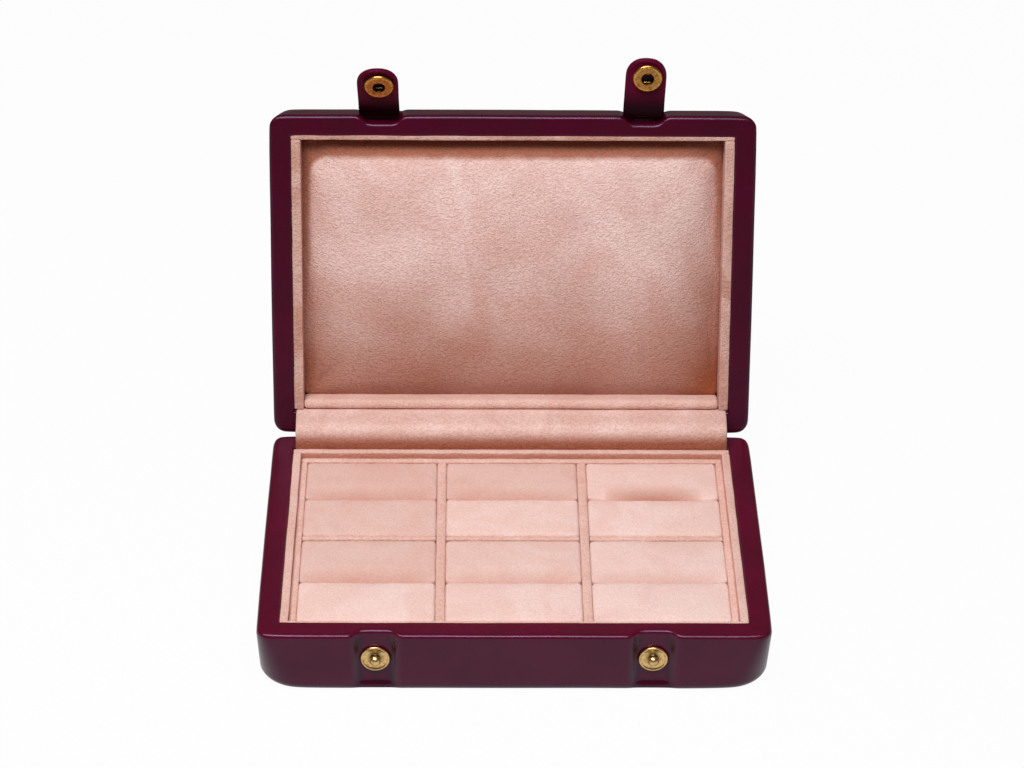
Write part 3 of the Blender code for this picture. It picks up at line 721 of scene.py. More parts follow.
    def finish(self, finish: Finish, body: str | None, slot: str, *nodes: str,
               sharp: float | None = None) -> Piece:
        """Dress the piece, set it on its body and let it stand for its CAD nodes.

        Args:
            finish: Its finish.
            body: The CAD body it rides on, or None to leave it on no body.
            slot: The record's material slot; not used.
            *nodes: CAD nodes that it replaces.
            sharp: The angle in degrees above which its edges stay sharp, or None.

        Returns:
            The finished object.
        """
        self.leave()
        if sharp is None:
            bpy.ops.object.shade_smooth()
        else:
            bpy.ops.object.shade_smooth_by_angle(angle=math.radians(sharp))
        self.item.data.materials.clear()
        self.item.data.materials.append(finish.material)
        if body is not None:
            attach(self.item, body)
        if nodes:
            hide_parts(*nodes)
        LOG.info("%s: %d points, stands for %s", self.item.name, len(self.item.data.vertices),
                 ", ".join(nodes) or "no node")
        return self.item


# Leather covers


@dataclass
class LeatherCover:
    """The leather over one half: walls, rim, lip and the two strap channels."""

    half: Half
    far_corner: float
    padding: float = 0.85 * MM
    rim: float = 8.1 * MM
    hinge_rim: float = 7.9 * MM
    hinge_growth: float = 0.7 * MM
    corner: float = 5.0 * MM
    least_corner: float = 0.5 * MM
    fillet: float = 3.2 * MM
    rim_edge: float = 1.3 * MM
    lip_edge: float = 0.7 * MM
    lip_depth: float = 6 * MM
    turn_in: float = 9 * MM
    thickness: float = 0.9 * MM
    channel_centre: float = 49 * MM
    channel_mouth: float = 9.3 * MM
    channel_floor: float = 4.6 * MM
    channel_depth: float = 3.1 * MM
    channel_start: float = 0.2 * MM
    channel_full: float = 4.0 * MM
    channel_columns: tuple[float, ...] = (-0.25, 0.0, 0.3, 0.5, 0.7, 1.0)
    hold: float = 0.8 * MM

    def __post_init__(self) -> None:
        """Find the half's box and work out the half sizes."""
        self.node = self.half.value + "_leather_cover"
        self.is_base = self.half is Half.BASE
        self.low, self.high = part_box(self.node) if self.is_base else shut_box(self.node)
        self.half_width = (self.high.x - self.low.x) / 2 + self.padding
        self.half_depth = (self.high.y - self.low.y) / 2
        self.height = self.high.z - self.low.z

    def build(self) -> Piece:
        """Shape the cover with its rim up, then set it on its half.

        Returns:
            The cover.
        """
        piece = Workpiece.block(self.half.value + "_leather_shell",
                                (-self.half_width, -self.half_depth, 0),
                                (self.half_width, self.half_depth, self.height))
        self._round_outside(piece)
        self._open_rim(piece)
        self._open_far_face(piece)
        piece.reshape(self._ease_corner)
        self._widen_hinge_rim(piece)
        self._press_channels(piece)
        piece.place(self._seat())
        piece.mend()
        piece.thicken(self.thickness, -1)
        piece.soften(2)
        bench = self._seat().inverted()
        # Painted shade in the strap channels: on their flanks and at their foot.
        piece.stroke(lambda co: self._wear(bench @ co))
        piece.reshape(waver(0.13 * MM, 22 * MM, 3.0 if self.is_base else 8.0))
        piece.reshape(lambda co: Vector((co.x, co.y, max(co.z, 0.0))))
        return piece.finish(Finish.COVER if self.is_base else Finish.LID_COVER,
                            self.half.value, "burgundy_leather", self.node)

    def _seat(self) -> Matrix:
        """Give the matrix from the bench to this half's place on the open case."""
        if self.is_base:
            return Matrix.Translation((0, 0, self.low.z))
        return OPENED @ Matrix.Translation((0, 0, self.high.z)) @ Matrix.Diagonal((1, 1, -1, 1))

    def _round_outside(self, piece: Workpiece) -> None:
        """Round the upright corners, the far edge and the rim's outer edge."""
        piece.round_edges(self.far_corner, 5, is_upright)
        piece.round_edges(self.fillet, 3, lambda a, b: max(a.z, b.z) < TINY)
        piece.round_edges(self.rim_edge, 2, lambda a, b: min(a.z, b.z) > self.height - TINY)
        for z in (self.height - self.rim_edge - self.hold, self.fillet + self.hold):
            piece.cut((0, 0, z), (0, 0, 1))

    def _open_rim(self, piece: Workpiece) -> None:
        """Open the rim and turn the lip down inside it."""
        piece.pick_faces(lambda centre, normal: centre.z > self.height - TINY
                         and normal.z > FACING)
        for width in (self.hold, self.rim - self.rim_edge - 2 * self.hold, self.hold):
            piece.inset(width)
        piece.extrude((0, 0, -self.lip_depth))
        bpy.ops.mesh.delete(type="FACE")
        edge_x, edge_y = self.half_width - self.rim, self.half_depth - self.rim
        piece.round_edges(self.lip_edge, 2, lambda a, b: min(a.z, b.z) > self.height - TINY
                          and max(abs(a.x), abs(b.x)) < edge_x + TINY
                          and max(abs(a.y), abs(b.y)) < edge_y + TINY)

    def _widen_hinge_rim(self, piece: Workpiece) -> None:
        """Move the lip in along the hinge side, where the rim is wider."""
        reach = self.rim_edge + self.hold + TINY
        piece.pick_points(lambda co: self.half_depth / 2 < co.y < self.half_depth - reach
                          and abs(co.x) < self.half_width - reach
                          and co.z > self.height - self.lip_depth - TINY)
        bpy.ops.transform.translate(value=(0, self.rim - self.hinge_rim, 0))
        start = self.half_depth - self.rim + TINY
        piece.reshape(lambda co: co + Vector((0, self.hinge_growth * ramp(
            co.y, start, self.half_depth - self.rim_edge), 0)))

    def _open_far_face(self, piece: Workpiece) -> None:
        """Turn the base's leather in under it, or keep the lid's top whole."""
        piece.pick_faces(lambda centre, normal: centre.z < TINY and normal.z < -FACING)
        piece.inset(self.hold)
        piece.inset(self.turn_in - self.fillet - self.hold)
        if self.is_base:
            bpy.ops.mesh.delete(type="FACE")

    def _press_channels(self, piece: Workpiece) -> None:
        """Press the two strap channels into the front wall, column by column."""
        mouth, floor = self.channel_mouth, self.channel_floor
        reaches = [mouth + (floor - mouth) * share for share in self.channel_columns] + [0.0]
        for centre in (-self.channel_centre, self.channel_centre):
            for reach in reaches:
                for x in {centre - reach, centre + reach}:
                    piece.cut((x, 0, 0), (1, 0, 0))
        piece.leave()
        rows = {round(vertex.co.z / TINY) * TINY for vertex in piece.item.data.vertices
                if self._off(vertex.co) < mouth and self._is_front(vertex.co)}
        for row in sorted(rows):
            share = (row - self.channel_start) / (self.channel_full - self.channel_start)
            for reach in reaches:
                depth = self.channel_depth * ramp(-reach, -mouth, -floor)
                if share > 0 and depth > TINY:
                    piece.pick_points(lambda co: abs(co.z - row) < TINY and self._is_front(co)
                                      and abs(self._off(co) - reach) < TINY)
                    bpy.ops.transform.translate(value=(0, depth * min(1.0, share), 0))

    def _off(self, co: Vector) -> float:
        """Tell how far a point lies from the nearer channel's middle line."""
        return abs(abs(co.x) - self.channel_centre)

    def _is_front(self, co: Vector) -> bool:
        """Tell whether a point belongs to the front wall."""
        return co.y < -self.half_depth + self.fillet - TINY

    def _wear(self, co: Vector) -> float:
        """Tell how much painted shade the leather takes: on a channel's two flanks and at its
        foot.

        Args:
            co: A point on the bench.

        Returns:
            Its share of the painted shade.
        """
        if co.y > -self.half_depth + self.fillet + self.channel_depth:
            return 0.0
        mouth, floor, off = self.channel_mouth, self.channel_floor, self._off(co)
        flank = ramp(off, floor - 1.6 * MM, floor + 1.2 * MM) * ramp(
            -off, -mouth + 0.6 * MM, -mouth + 3.0 * MM)
        upright = ramp(-co.z, -self.height + 1.0 * MM, -self.height + 3.0 * MM)
        foot = ramp(-off, -mouth + 1.0 * MM, -floor) * ramp(-co.z, -5.0 * MM, -3.4 * MM)
        return 0.5 * max(flank * upright, foot)

    def _ease_corner(self, co: Vector) -> Vector:
        """Make the upright corners tighter towards the rim, ring by ring.

        Args:
            co: A point on the bench.

        Returns:
            Its new place.
        """
        over_x = abs(co.x) - (self.half_width - self.far_corner)
        over_y = abs(co.y) - (self.half_depth - self.far_corner)
        reach = math.hypot(over_x, over_y)
        if over_x < -TINY or over_y < -TINY or reach < TINY:
            return co
        share = 1 - co.z / self.height
        inset = self.far_corner - reach
        radius = max(self.least_corner,
                     self.corner + (self.far_corner - self.corner) * share - inset)
        x = self.half_width - inset - radius + over_x / reach * radius
        y = self.half_depth - inset - radius + over_y / reach * radius
        return Vector((math.copysign(x, co.x), math.copysign(y, co.y), co.z))


# Suede strips and the tray's ridges

CUSHION_TUCK = 3.5 * MM
HINGE_SHIFT = 1.7 * MM
REAR_SHIFT = 2.0 * MM
REAR_START = -30 * MM
REAR_FULL = -4 * MM


def set_back(place: Vector) -> Vector:
    """Move a corner of an inner piece of the base back where it lies in the rear half."""
    share = clamp((place.y - REAR_START) / (REAR_FULL - REAR_START))
    return place + Vector((0, REAR_SHIFT * share, 0))


@dataclass
class SuedeStrip:
    """A board strip or ridge wrapped in suede, with soft edges and a slight waver."""

    node: str
    half: Half = Half.BASE
    edge: float = 0.55 * MM
    step: float = 3.5 * MM
    sway: float = 0.12 * MM
    nap: float = 0.27 * MM
    trim: float = 0.0
    shift: float = 0.0
    grow: float = 0.0
    # Painted shade below each strip's open top: how far down it reaches, and its share.
    seam: float = 1.0 * MM
    depth: float = 0.9

    def build(self) -> Piece:
        """Shape the strip in the box of its CAD node.

        Returns:
            The strip.
        """
        is_lid = self.half is Half.LID
        shift = Vector((0, self.shift, 0))
        low, high = ([corner + shift for corner in shut_box(self.node)] if is_lid
                     else [set_back(corner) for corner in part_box(self.node)])
        fur = Vector((self.nap, self.nap, 0))
        low, high = low - fur + Vector((0, self.trim, 0)), high + fur + Vector((0, self.grow, 0))
        piece = Workpiece.block(self.node + "_suede", low, high)
        span = high - low
        long = max(range(3), key=lambda axis: span[axis])
        piece.round_edges(min(self.edge, 0.42 * min(span)), 2, lambda a, b: True)
        piece.pick_edges(lambda a, b: abs(a[long] - b[long]) > span[long] / 2)
        bpy.ops.mesh.subdivide(number_cuts=max(1, round(span[long] / self.step) - 1))
        piece.soften(2)
        up, face = (1, low.z) if is_lid else (-1, -high.z)
        # Painted shade down the strip's sides, in the gaps between pieces.
        piece.stroke(lambda co: self.depth * ramp(up * co.z - face, 0.3 * self.seam, self.seam))
        if is_lid:
            piece.place(OPENED)
        piece.reshape(waver(self.sway, 9 * MM, sum(ord(letter) for letter in self.node) % 17))
        finish = Finish.LID_LINING if "lid_lining" in self.node else Finish.LINING
        return piece.finish(finish, self.half.value, "peach_suede", self.node)


def lining_strips() -> list[SuedeStrip]:
    """List the lining strips of the base and the lid, and the lid's shelf."""
    # Each wall's share of painted shade; the right one lighter.
    base = {"front": 0.9, "back": 0.9, "left": 0.9, "right": 0.3}
    lid = {"front": (0.9, 0.0), "left": (0.9, HINGE_SHIFT), "right": (0.2, HINGE_SHIFT)}
    return [*[SuedeStrip("base_lining_" + wall, depth=depth) for wall, depth in base.items()],
            *[SuedeStrip("lid_lining_" + wall, Half.LID, depth=depth, grow=grow)
              for wall, (depth, grow) in lid.items()],
            SuedeStrip("lid_hinge_shelf", Half.LID, edge=1.6 * MM, trim=1.5 * MM,
                       shift=HINGE_SHIFT, depth=0.0)]


def tray_strips() -> list[SuedeStrip]:
    """List the tray's walls and its dividers."""
    # Each wall's and divider's share of painted shade; the right wall lighter.
    walls = {"front": 0.7, "back": 0.7, "left": 0.7, "right": 0.25}
    return [*[SuedeStrip("tray_wall_" + wall, edge=0.8 * MM, depth=depth)
              for wall, depth in walls.items()],
            *[SuedeStrip("tray_column_divider_" + side.word, edge=1.0 * MM, depth=0.4)
              for side in Side],
            *[SuedeStrip("tray_row_divider_" + column, edge=0.8 * MM, depth=0.4)
              for column in COLUMNS]]


# Padded pieces


@dataclass
class Puff:
    """How a padded piece is puffed up: cloth under pressure, each move capped."""

    voxel: float
    cap: float
    pressure: float = 4.0
    frames: int = 20

    def swell(self, piece: Workpiece, is_held: Callable[[Vector], bool]) -> None:
        """Puff a closed form.

        Args:
            piece: The form, a little smaller than the finished pad.
            is_held: Whether a point rests on what carries the pad.
        """
        piece.leave()
        item = piece.item
        item.data.remesh_voxel_size = self.voxel
        bpy.ops.object.voxel_remesh()
        rest = [vertex.co.copy() for vertex in item.data.vertices]
        group = item.vertex_groups.new(name="held")
        group.add([i for i, co in enumerate(rest) if is_held(co)], 1.0, "REPLACE")
        cloth = item.modifiers.new("padding", "CLOTH")
        cloth.settings.use_pressure = True
        cloth.settings.uniform_pressure_force = self.pressure
        cloth.settings.vertex_group_mass = group.name
        cloth.settings.effector_weights.gravity = 0.0
        cloth.point_cache.frame_start = 1
        cloth.point_cache.frame_end = self.frames
        for step in range(1, self.frames + 1):
            bpy.context.scene.frame_set(step)
        bpy.ops.object.modifier_apply(modifier=cloth.name)
        bpy.context.scene.frame_set(1)
        item.vertex_groups.clear()
        for vertex, start in zip(item.data.vertices, rest):
            way = vertex.co - start
            if way.length > TINY:
                vertex.co = start + way.normalized() * self.cap * math.tanh(
                    way.length / self.cap)
        piece.soften(1)


class SlitKind(Enum):
    """How a pad's top meets its slit: drop at the slit, width of the fall, extra dent."""

    NEAR = (0.25 * MM, 2.5 * MM, 0.0)
    FAR = (2.3 * MM, 9 * MM, 0.0)
    FAR_USED = (1.4 * MM, 9 * MM, 2.4 * MM)


@dataclass
class RingPad:
    """One foam pad of a ring cell, wrapped in suede, whose edge meets its pair in a slit."""

    node: str
    kind: SlitKind
    brushed: float
    seed: float
    crown: float = 0.4 * MM
    nap: tuple[float, float, float] = (0.45 * MM, 0.3 * MM, 0.0)
    sway: float = 0.2 * MM
    dent_share: float = 0.74

    def build(self, form: Piece) -> Piece:
        """Copy the puffed form into the box of its CAD node and press it into shape.

        Args:
            form: The puffed form, centred on its own origin, its slit side towards -Y.

        Returns:
            The pad.
        """
        Workpiece.clear()
        item = form.copy()
        item.data = form.data.copy()
        bpy.context.scene.collection.objects.link(item)
        bpy.context.view_layer.objects.active = item
        piece = Workpiece(self.node + "_padded")
        fur = Vector(self.nap)
        self.low, self.high = (set_back(corner) + sign * fur for sign, corner
                               in zip((-1, 1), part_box(self.node)))
        self.form_low, self.form_high = box_of(form.bound_box)
        # Painted shade into the slit, down the sides and in a used pad's hollow, over the pad's
        # own brushed tone.
        piece.stroke(self._lie)
        piece.reshape(self._press)
        piece.mend()
        item = piece.finish(Finish.PAD, "base", "pad_suede", self.node)
        return item

    def _share(self, co: Vector) -> tuple[float, float, float]:
        """Give a point's place in the pad, each way from -1 to 1."""
        span = self.form_high - self.form_low
        u, v, w = (2 * (co[axis] - self.form_low[axis]) / span[axis] - 1 for axis in range(3))
        return u, (-v if self.kind is SlitKind.NEAR else v), w

    def _lie(self, co: Vector) -> float:
        """Tell how deep the nap's tone is: its own brushed tone, and painted shade down the
        sides, into the slit and in the hollow of a used one.

        Args:
            co: A point of the form.

        Returns:
            Its share of the deeper tone.
        """
        u, v, w = self._share(co)
        depth = max(self.brushed, 0.6 * ramp(-w, -0.96, -0.6))
        if self.kind is SlitKind.NEAR:
            return depth
        bow = max(0.0, 1 - (u / self.dent_share) ** 2)
        if self.kind is SlitKind.FAR_USED:
            return max(depth, bow ** 0.6 * ramp(-v, 0.15, 1.0))
        return max(depth, self.brushed + (1 - u ** 6) * ramp(-v, 0.3, 1.1) * 0.4)

    def _press(self, co: Vector) -> Vector:
        """Carry a point of the form to the pad and press it down towards the slit.

        Args:
            co: A point of the form.

        Returns:
            Its place in the pad.
        """
        u, v, w = self._share(co)
        size = self.high - self.low
        place = Vector([self.low[axis] + size[axis] * (part + 1) / 2
                        for axis, part in enumerate((u, v, w))])
        drop, width, dent = self.kind.value
        top = max(0.0, w)
        from_slit = (1 + (-v if self.kind is SlitKind.NEAR else v)) / 2 * size.y
        fall = max(0.0, 1 - from_slit / width)
        bow = max(0.0, 1 - (u / self.dent_share) ** 2)
        place.z += self.crown * top * (1 - u * u) * (1 - v * v)
        place.z -= top * fall * fall * (drop * (1 - u ** 6) + dent * bow ** 1.5)
        place.z += top * self.sway * noise.noise(place / (11 * MM) + Vector((self.seed,) * 3))
        place.y += 2 * self.sway * noise.noise(Vector((u * 2.2, self.seed, 1.0))) * fall
        return place


@dataclass
class RingTray:
    """The ring tray: its suede frame, its dividers and twelve foam pads."""

    form_size: tuple[float, float, float] = (49 * MM, 22.5 * MM, 17.6 * MM)
    form_corner: float = 1.2 * MM
    form_edge: float = 0.8 * MM
    seed_step: float = 1.7
    used_cell: str = "rear_right"
    brushed: dict[str, float] = field(default_factory=lambda: {
        "rear_left_far": 0.34, "rear_centre_far": 0.3, "front_left_far": 0.28,
        "front_centre_far": 0.12, "rear_left_near": 0.26, "front_right_far": 0.05})
    puff: Puff = field(default_factory=lambda: Puff(voxel=1.3 * MM, cap=0.5 * MM))

    def build(self) -> list[Piece]:
        """Build every piece of the tray.

        Returns:
            The tray's pieces.
        """
        pieces = [strip.build() for strip in tray_strips()]
        form = self._pad_form()
        cells = [f"{row}_{column}" for row in ("front", "rear") for column in COLUMNS]
        for count, cell in enumerate(cells):
            far = SlitKind.FAR_USED if cell == self.used_cell else SlitKind.FAR
            for spot, kind in ((cell + "_near", SlitKind.NEAR), (cell + "_far", far)):
                pad = RingPad("ring_pad_" + spot, kind, self.brushed.get(spot, 0.0),
                              self.seed_step * count)
                pieces.append(pad.build(form))
        Workpiece.clear()
        bpy.data.objects.remove(form, do_unlink=True)
        return pieces

    def _pad_form(self) -> Piece:
        """Puff up the form that all twelve pads are copied from."""
        half = [size / 2 for size in self.form_size]
        piece = Workpiece.block("pad_form", [-part for part in half], half)
        piece.round_edges(self.form_corner, 4, is_upright)
        piece.round_edges(self.form_edge, 3, lambda a, b: min(a.z, b.z) > half[2] - TINY)
        self.puff.swell(piece, lambda co: co.z < half[2] / 2)
        return piece.item


@dataclass
class LidCushion:
    """The crowned suede cushion inside the lid."""

    node: str = "lid_cushion"
    corner: float = 3 * MM
    edge: float = 1.2 * MM
    body: float = 2.6 * MM
    crown: float = 5.0 * MM
    over: float = 0.9 * MM
    ripple: float = 0.3 * MM
    # Width and corner rounding of the painted shadow that the lid's side and front walls cast.
    tuck_side: float = 2.7 * MM
    tuck_front: float = 7.2 * MM
    tuck_round: float = 7.0 * MM
    puff: Puff = field(default_factory=lambda: Puff(voxel=1.9 * MM, cap=1.2 * MM))

    def build(self) -> Piece:
        """Puff the cushion up with the lid shut, crown it and open it with the lid.

        Returns:
            The cushion.
        """
        low, self.high = shut_box(self.node)
        self.high.y += CUSHION_TUCK
        self.centre, self.half = (low + self.high) / 2, (self.high - low) / 2
        over = Vector((self.over, self.over, 0))
        self.least, self.most = low - over, self.high + over
        self.least.z = self.high.z - self.body
        piece = Workpiece.block("lid_cushion_padded", self.least, self.most)
        piece.round_edges(self.corner, 4, is_upright)
        piece.round_edges(self.edge, 3, lambda a, b: max(a.z, b.z) < self.least.z + TINY)
        self.puff.swell(piece, lambda co: co.z > self.high.z - 0.5 * MM)
        # Painted shade towards the hinge and the sides, and the walls' painted shadow.
        piece.stroke(self._lie)
        piece.reshape(self._crown)
        piece.place(OPENED)
        item = piece.finish(Finish.CUSHION, "lid", "pad_suede", self.node)
        return item

    def _lie(self, co: Vector) -> float:
        """Tell how deep the nap's tone is: random patches, painted shade towards the hinge and
        along the sides, and a painted shadow under the front wall and beside the side walls.

        Args:
            co: A point of the puffed body.

        Returns:
            Its share of the deeper tone.
        """
        u = (co.x - self.centre.x) / self.half.x
        v = (co.y - self.centre.y) / self.half.y
        patch = 0.14 * noise.noise(co / (20 * MM))
        # Painted shade: darker towards the hinge and at both sides, more on the right.
        low = 0.73 * ramp(v, -0.55, 1.05)
        sides = 0.28 * ramp(u, 0.7, 1.0) + 0.2 * ramp(-u, 0.72, 1.0)
        # Painted shadow of the lid's front and side walls, with rounded corners.
        over_x = (abs(u) - 1) * self.half.x + self.tuck_side + self.tuck_round
        over_y = (-v - 1) * self.half.y + self.tuck_front + self.tuck_round
        past = (math.hypot(max(0.0, over_x), max(0.0, over_y))
                + min(0.0, max(over_x, over_y)) - self.tuck_round)
        soft = 0.5 * MM * noise.noise(co / (5 * MM))
        beside = ramp(-v, -0.6 if u > 0 else -1.6, 0.95)
        cast_shadow = (0.45 + 0.45 * beside) * ramp(past + soft, -1.3 * MM, 1.3 * MM)
        return clamp(max(low + sides + patch, cast_shadow))

    def _crown(self, co: Vector) -> Vector:
        """Raise a point of the puffed body towards the open side.

        Args:
            co: The point.

        Returns:
            Its new place.
        """
        u = min(1.0, abs(co.x - self.centre.x) / self.half.x)
        v = min(1.0, abs(co.y - self.centre.y) / self.half.y)
        share = clamp((self.high.z - co.z) / self.body)
        swell = self.crown * (1 - u ** 6) * (1 - v ** (5.0 if co.y < self.centre.y else 4.0))
        ripple = self.ripple * noise.noise(co / (24 * MM))
        return Vector((clamp(co.x, self.least.x, self.most.x),
                       clamp(co.y, self.least.y, self.most.y),
                       min(co.z - (swell + ripple) * share, self.high.z)))


# The hinge


@dataclass
class Hinge:
    """The suede cloth inside and the leather strip outside that join lid and base."""

    half_span: float = 82 * MM
    cloth: float = 0.8 * MM
    leather: float = 0.9 * MM
    slot: float = 5 * MM
    slot_y: float = 51.7 * MM + HINGE_SHIFT
    base_rim: float = 25 * MM
    lid_rim: float = 25.6 * MM
    lid_reach: float = 5.5 * MM
    base_reach: float = 4.6 * MM
    overhang: float = 0.9 * MM
    leg: float = 7.5 * MM
    back: float = 61.6 * MM
    gap: float = 0.3 * MM
    columns: int = 82
    steps: int = 30
    crease: float = 0.7 * MM

    def _opened(self, y: float, z: float) -> tuple[float, float]:
        """Carry a place of the shut case round with the opening lid."""
        return tuple((OPENED @ Vector((0, y, z)))[1:])

    def _cloth_path(self) -> Profile:
        """Lay out the cloth's path from the lid's slot to the base's slot.

        Returns:
            Places across the hinge, as Y and Z.
        """
        handles = (self._opened(self.slot_y, self.lid_rim),
                   self._opened(self.slot_y, self.lid_rim - self.lid_reach),
                   (self.slot_y - self.overhang, self.base_rim + self.base_reach),
                   (self.slot_y, self.base_rim))
        path = [self._opened(self.slot_y, self.lid_rim + self.slot * share)
                for share in (1, 0.66, 0.33)]
        for step in range(self.steps + 1):
            t = step / self.steps
            weights = ((1 - t) ** 3, 3 * (1 - t) ** 2 * t, 3 * (1 - t) * t * t, t ** 3)
            path.append(tuple(sum(w * h[axis] for w, h in zip(weights, handles))
                              for axis in (0, 1)))
        return path + [(self.slot_y, self.base_rim - self.slot * share)
                       for share in (0.33, 0.66, 1)]

    def _sheet(self, name: str, path: Profile) -> Workpiece:
        """Sweep a path sideways into an open sheet.

        Args:
            name: The sheet's name.
            path: Places across the hinge, as Y and Z.

        Returns:
            The sheet on the bench.
        """
        Workpiece.clear()
        bpy.ops.mesh.primitive_plane_add(size=1, location=(0, 0, 0))
        piece = Workpiece(name)
        piece.edit()
        bpy.ops.mesh.delete(type="ONLY_FACE")
        piece.pick_edges(lambda a, b: a.y < 0 and b.y < 0)
        bpy.ops.mesh.select_all(action="INVERT")
        bpy.ops.mesh.delete(type="EDGE")
        piece.reshape(lambda co: Vector((math.copysign(self.half_span, co.x), *path[0])))
        piece.edit()
        bpy.ops.mesh.select_mode(type="EDGE")
        bpy.ops.mesh.select_all(action="SELECT")
        for here, there in zip(path, path[1:]):
            piece.extrude((0, there[0] - here[0], there[1] - here[1]))
        piece.pick_edges(lambda a, b: abs(a.x - b.x) > self.half_span)
        bpy.ops.mesh.subdivide(number_cuts=self.columns - 1)
        piece.mend()
        return piece

    def build_cloth(self) -> Piece:
        """Build the suede cloth with its soft creases.

        Returns:
            The cloth.
        """
        path = self._cloth_path()
        piece = self._sheet("hinge_cloth_suede", path)
        top, bottom = path[3], path[-4]

        def crease(co: Vector) -> Vector:
            """Push a point of the cloth out or in."""
            free = min(1.0, *(math.dist(co.yz, end) / (4 * MM) for end in (top, bottom)))
            slow = noise.noise(Vector((co.x / (30 * MM), co.z / (9 * MM), 2.0)))
            fine = noise.noise(Vector((co.x / (11 * MM), co.z / (1.7 * MM), 5.0)))
            low_share = clamp((bottom[1] + 7 * MM - co.z) / (5 * MM))
            push = self.crease * (0.45 * slow + 0.5 * fine * low_share) * free
            return co + Vector((0, -push, push))

        def lie(co: Vector) -> float:
            """Tell how dark the cloth is, by the step of the path: a faint darker band on its
            upper part, and painted shade on its lower half.
            """
            near = min(range(len(path)), key=lambda step: math.dist(co.yz, path[step]))
            share = near / (len(path) - 1)
            return 0.2 * ramp(share, 0.12, 0.3) * ramp(-share, -0.5, -0.36) + ramp(
                share, 0.5, 0.8)

        # Painted shade on the cloth's lower half.
        piece.stroke(lie)
        piece.reshape(crease)
        piece.thicken(self.cloth, 0)
        piece.soften(1)
        item = piece.finish(Finish.CLOTH, None, "hinge_suede", "hinge_cloth")
        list(bottom)
        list(top)
        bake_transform(item)
        length = sum(math.dist(a, b) for a, b in zip(path, path[1:]))
        return item

    def build_leather(self) -> Piece:
        """Build the leather strip outside the back walls.

        Returns:
            The strip.
        """
        mid = self.back + self.gap + self.leather / 2
        shares = (0.25, 0.5, 0.75, 1)
        path = [(mid, self.base_rim - self.leg * share) for share in reversed(shares)]
        path += [(mid, self.base_rim - self.gap), self._opened(mid, self.lid_rim + self.gap)]
        path += [self._opened(mid, self.lid_rim + self.leg * share) for share in shares]
        piece = self._sheet("hinge_strip_leather", path)
        piece.thicken(self.leather, 0)
        piece.soften(1)
        piece.reshape(waver(0.08 * MM, 12 * MM, 1.0))
        item = piece.finish(Finish.STRIP, None, "burgundy_leather", "hinge_leather", sharp=50)
        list(path[4])
        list(path[5])
        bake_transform(item)
        return item


# Straps and snaps


def arc(centre: Point, radii: Point, start: float, stop: float, steps: int) -> Profile:
    """Lay out points along an arc of a turned piece's profile.

    Args:
        centre: The arc's centre, as radius and height.
        radii: Its size across and up.
        start: Its first angle, from the outward way.
        stop: Its last angle.
        steps: Steps between them.

    Returns:
        Radius and height of each point.
    """
    angles = [start + (stop - start) * step / steps for step in range(steps + 1)]
    return [(centre[0] + radii[0] * math.cos(angle), centre[1] + radii[1] * math.sin(angle))
            for angle in angles]


@dataclass
class SnapStud:
    """A brass snap stud: a rolled flange, a dished face and a ball on a neck."""

    side: Side
    flange: float = 5.2 * MM
    ball: float = 2.0 * MM
    neck: float = 1.75 * MM
    height: float = 3.4 * MM
    shank: float = 1.2 * MM
    roll: float = 0.46 * MM
    roll_turn: float = 1.15 * math.pi
    dish: float = 0.2 * MM

    def _profile(self) -> Profile:
        """Lay out the stud's profile from the ball's top to the shank's end.

        Returns:
            Radius and height of each ring.
        """
        turn = QUARTER + math.acos(self.neck / self.ball)
        return [(0.12 * MM, self.height),
                *arc((0, self.height - self.ball), (self.ball,) * 2, QUARTER, QUARTER - turn,
                     11)[1:],
                (self.neck, 0.55 * MM), (self.neck + 0.15 * MM, 0.3 * MM),
                (self.neck + 0.5 * MM, self.dish), (3.2 * MM, self.dish),
                (3.7 * MM, 0.26 * MM), (4.1 * MM, 0.38 * MM),
                *arc((self.flange - self.roll, self.roll), (self.roll,) * 2, math.pi,
                     math.pi - self.roll_turn, 8),
                (self.flange - 0.15 * MM, 0.05 * MM), (self.flange - 0.4 * MM, 0.0),
                (self.shank, 0.0), (self.shank, -4.6 * MM), (0.3 * MM, -4.7 * MM)]

    def build(self) -> Piece:
        """Turn the stud and set it in its channel.

        Returns:
            The stud.
        """
        node = "snap_stud_" + self.side.word
        low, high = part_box(node)
        piece = Workpiece.turned("brass_stud_" + self.side.word, self._profile())
        # Painted shade round the post's neck, under the ball and in a ring on the dish.
        piece.stroke(self._tarnish)
        seat = Vector(((low.x + high.x) / 2, low.y + self.height, (low.z + high.z) / 2))
        piece.place(Matrix.Translation(seat) @ Matrix.Rotation(QUARTER, 4, "X"))
        return piece.finish(Finish.BRASS, "base", "polished_brass", node, sharp=50)

    def _tarnish(self, co: Vector) -> float:
        """Tell how much painted shade the brass takes: round the neck and on the ball's flank.

        Args:
            co: A point on the bench.

        Returns:
            Its share of the painted shade.
        """
        out = math.hypot(co.x, co.y)
        ball_z = self.height - self.ball
        if co.z > 0.25 * MM and out < self.ball + TINY:
            return 0.75 * ramp(-co.z, -ball_z - 0.5 * MM, -ball_z)
        return 0.45 * ramp(-out, -self.ball - 1.3 * MM, -self.ball - 0.2 * MM)


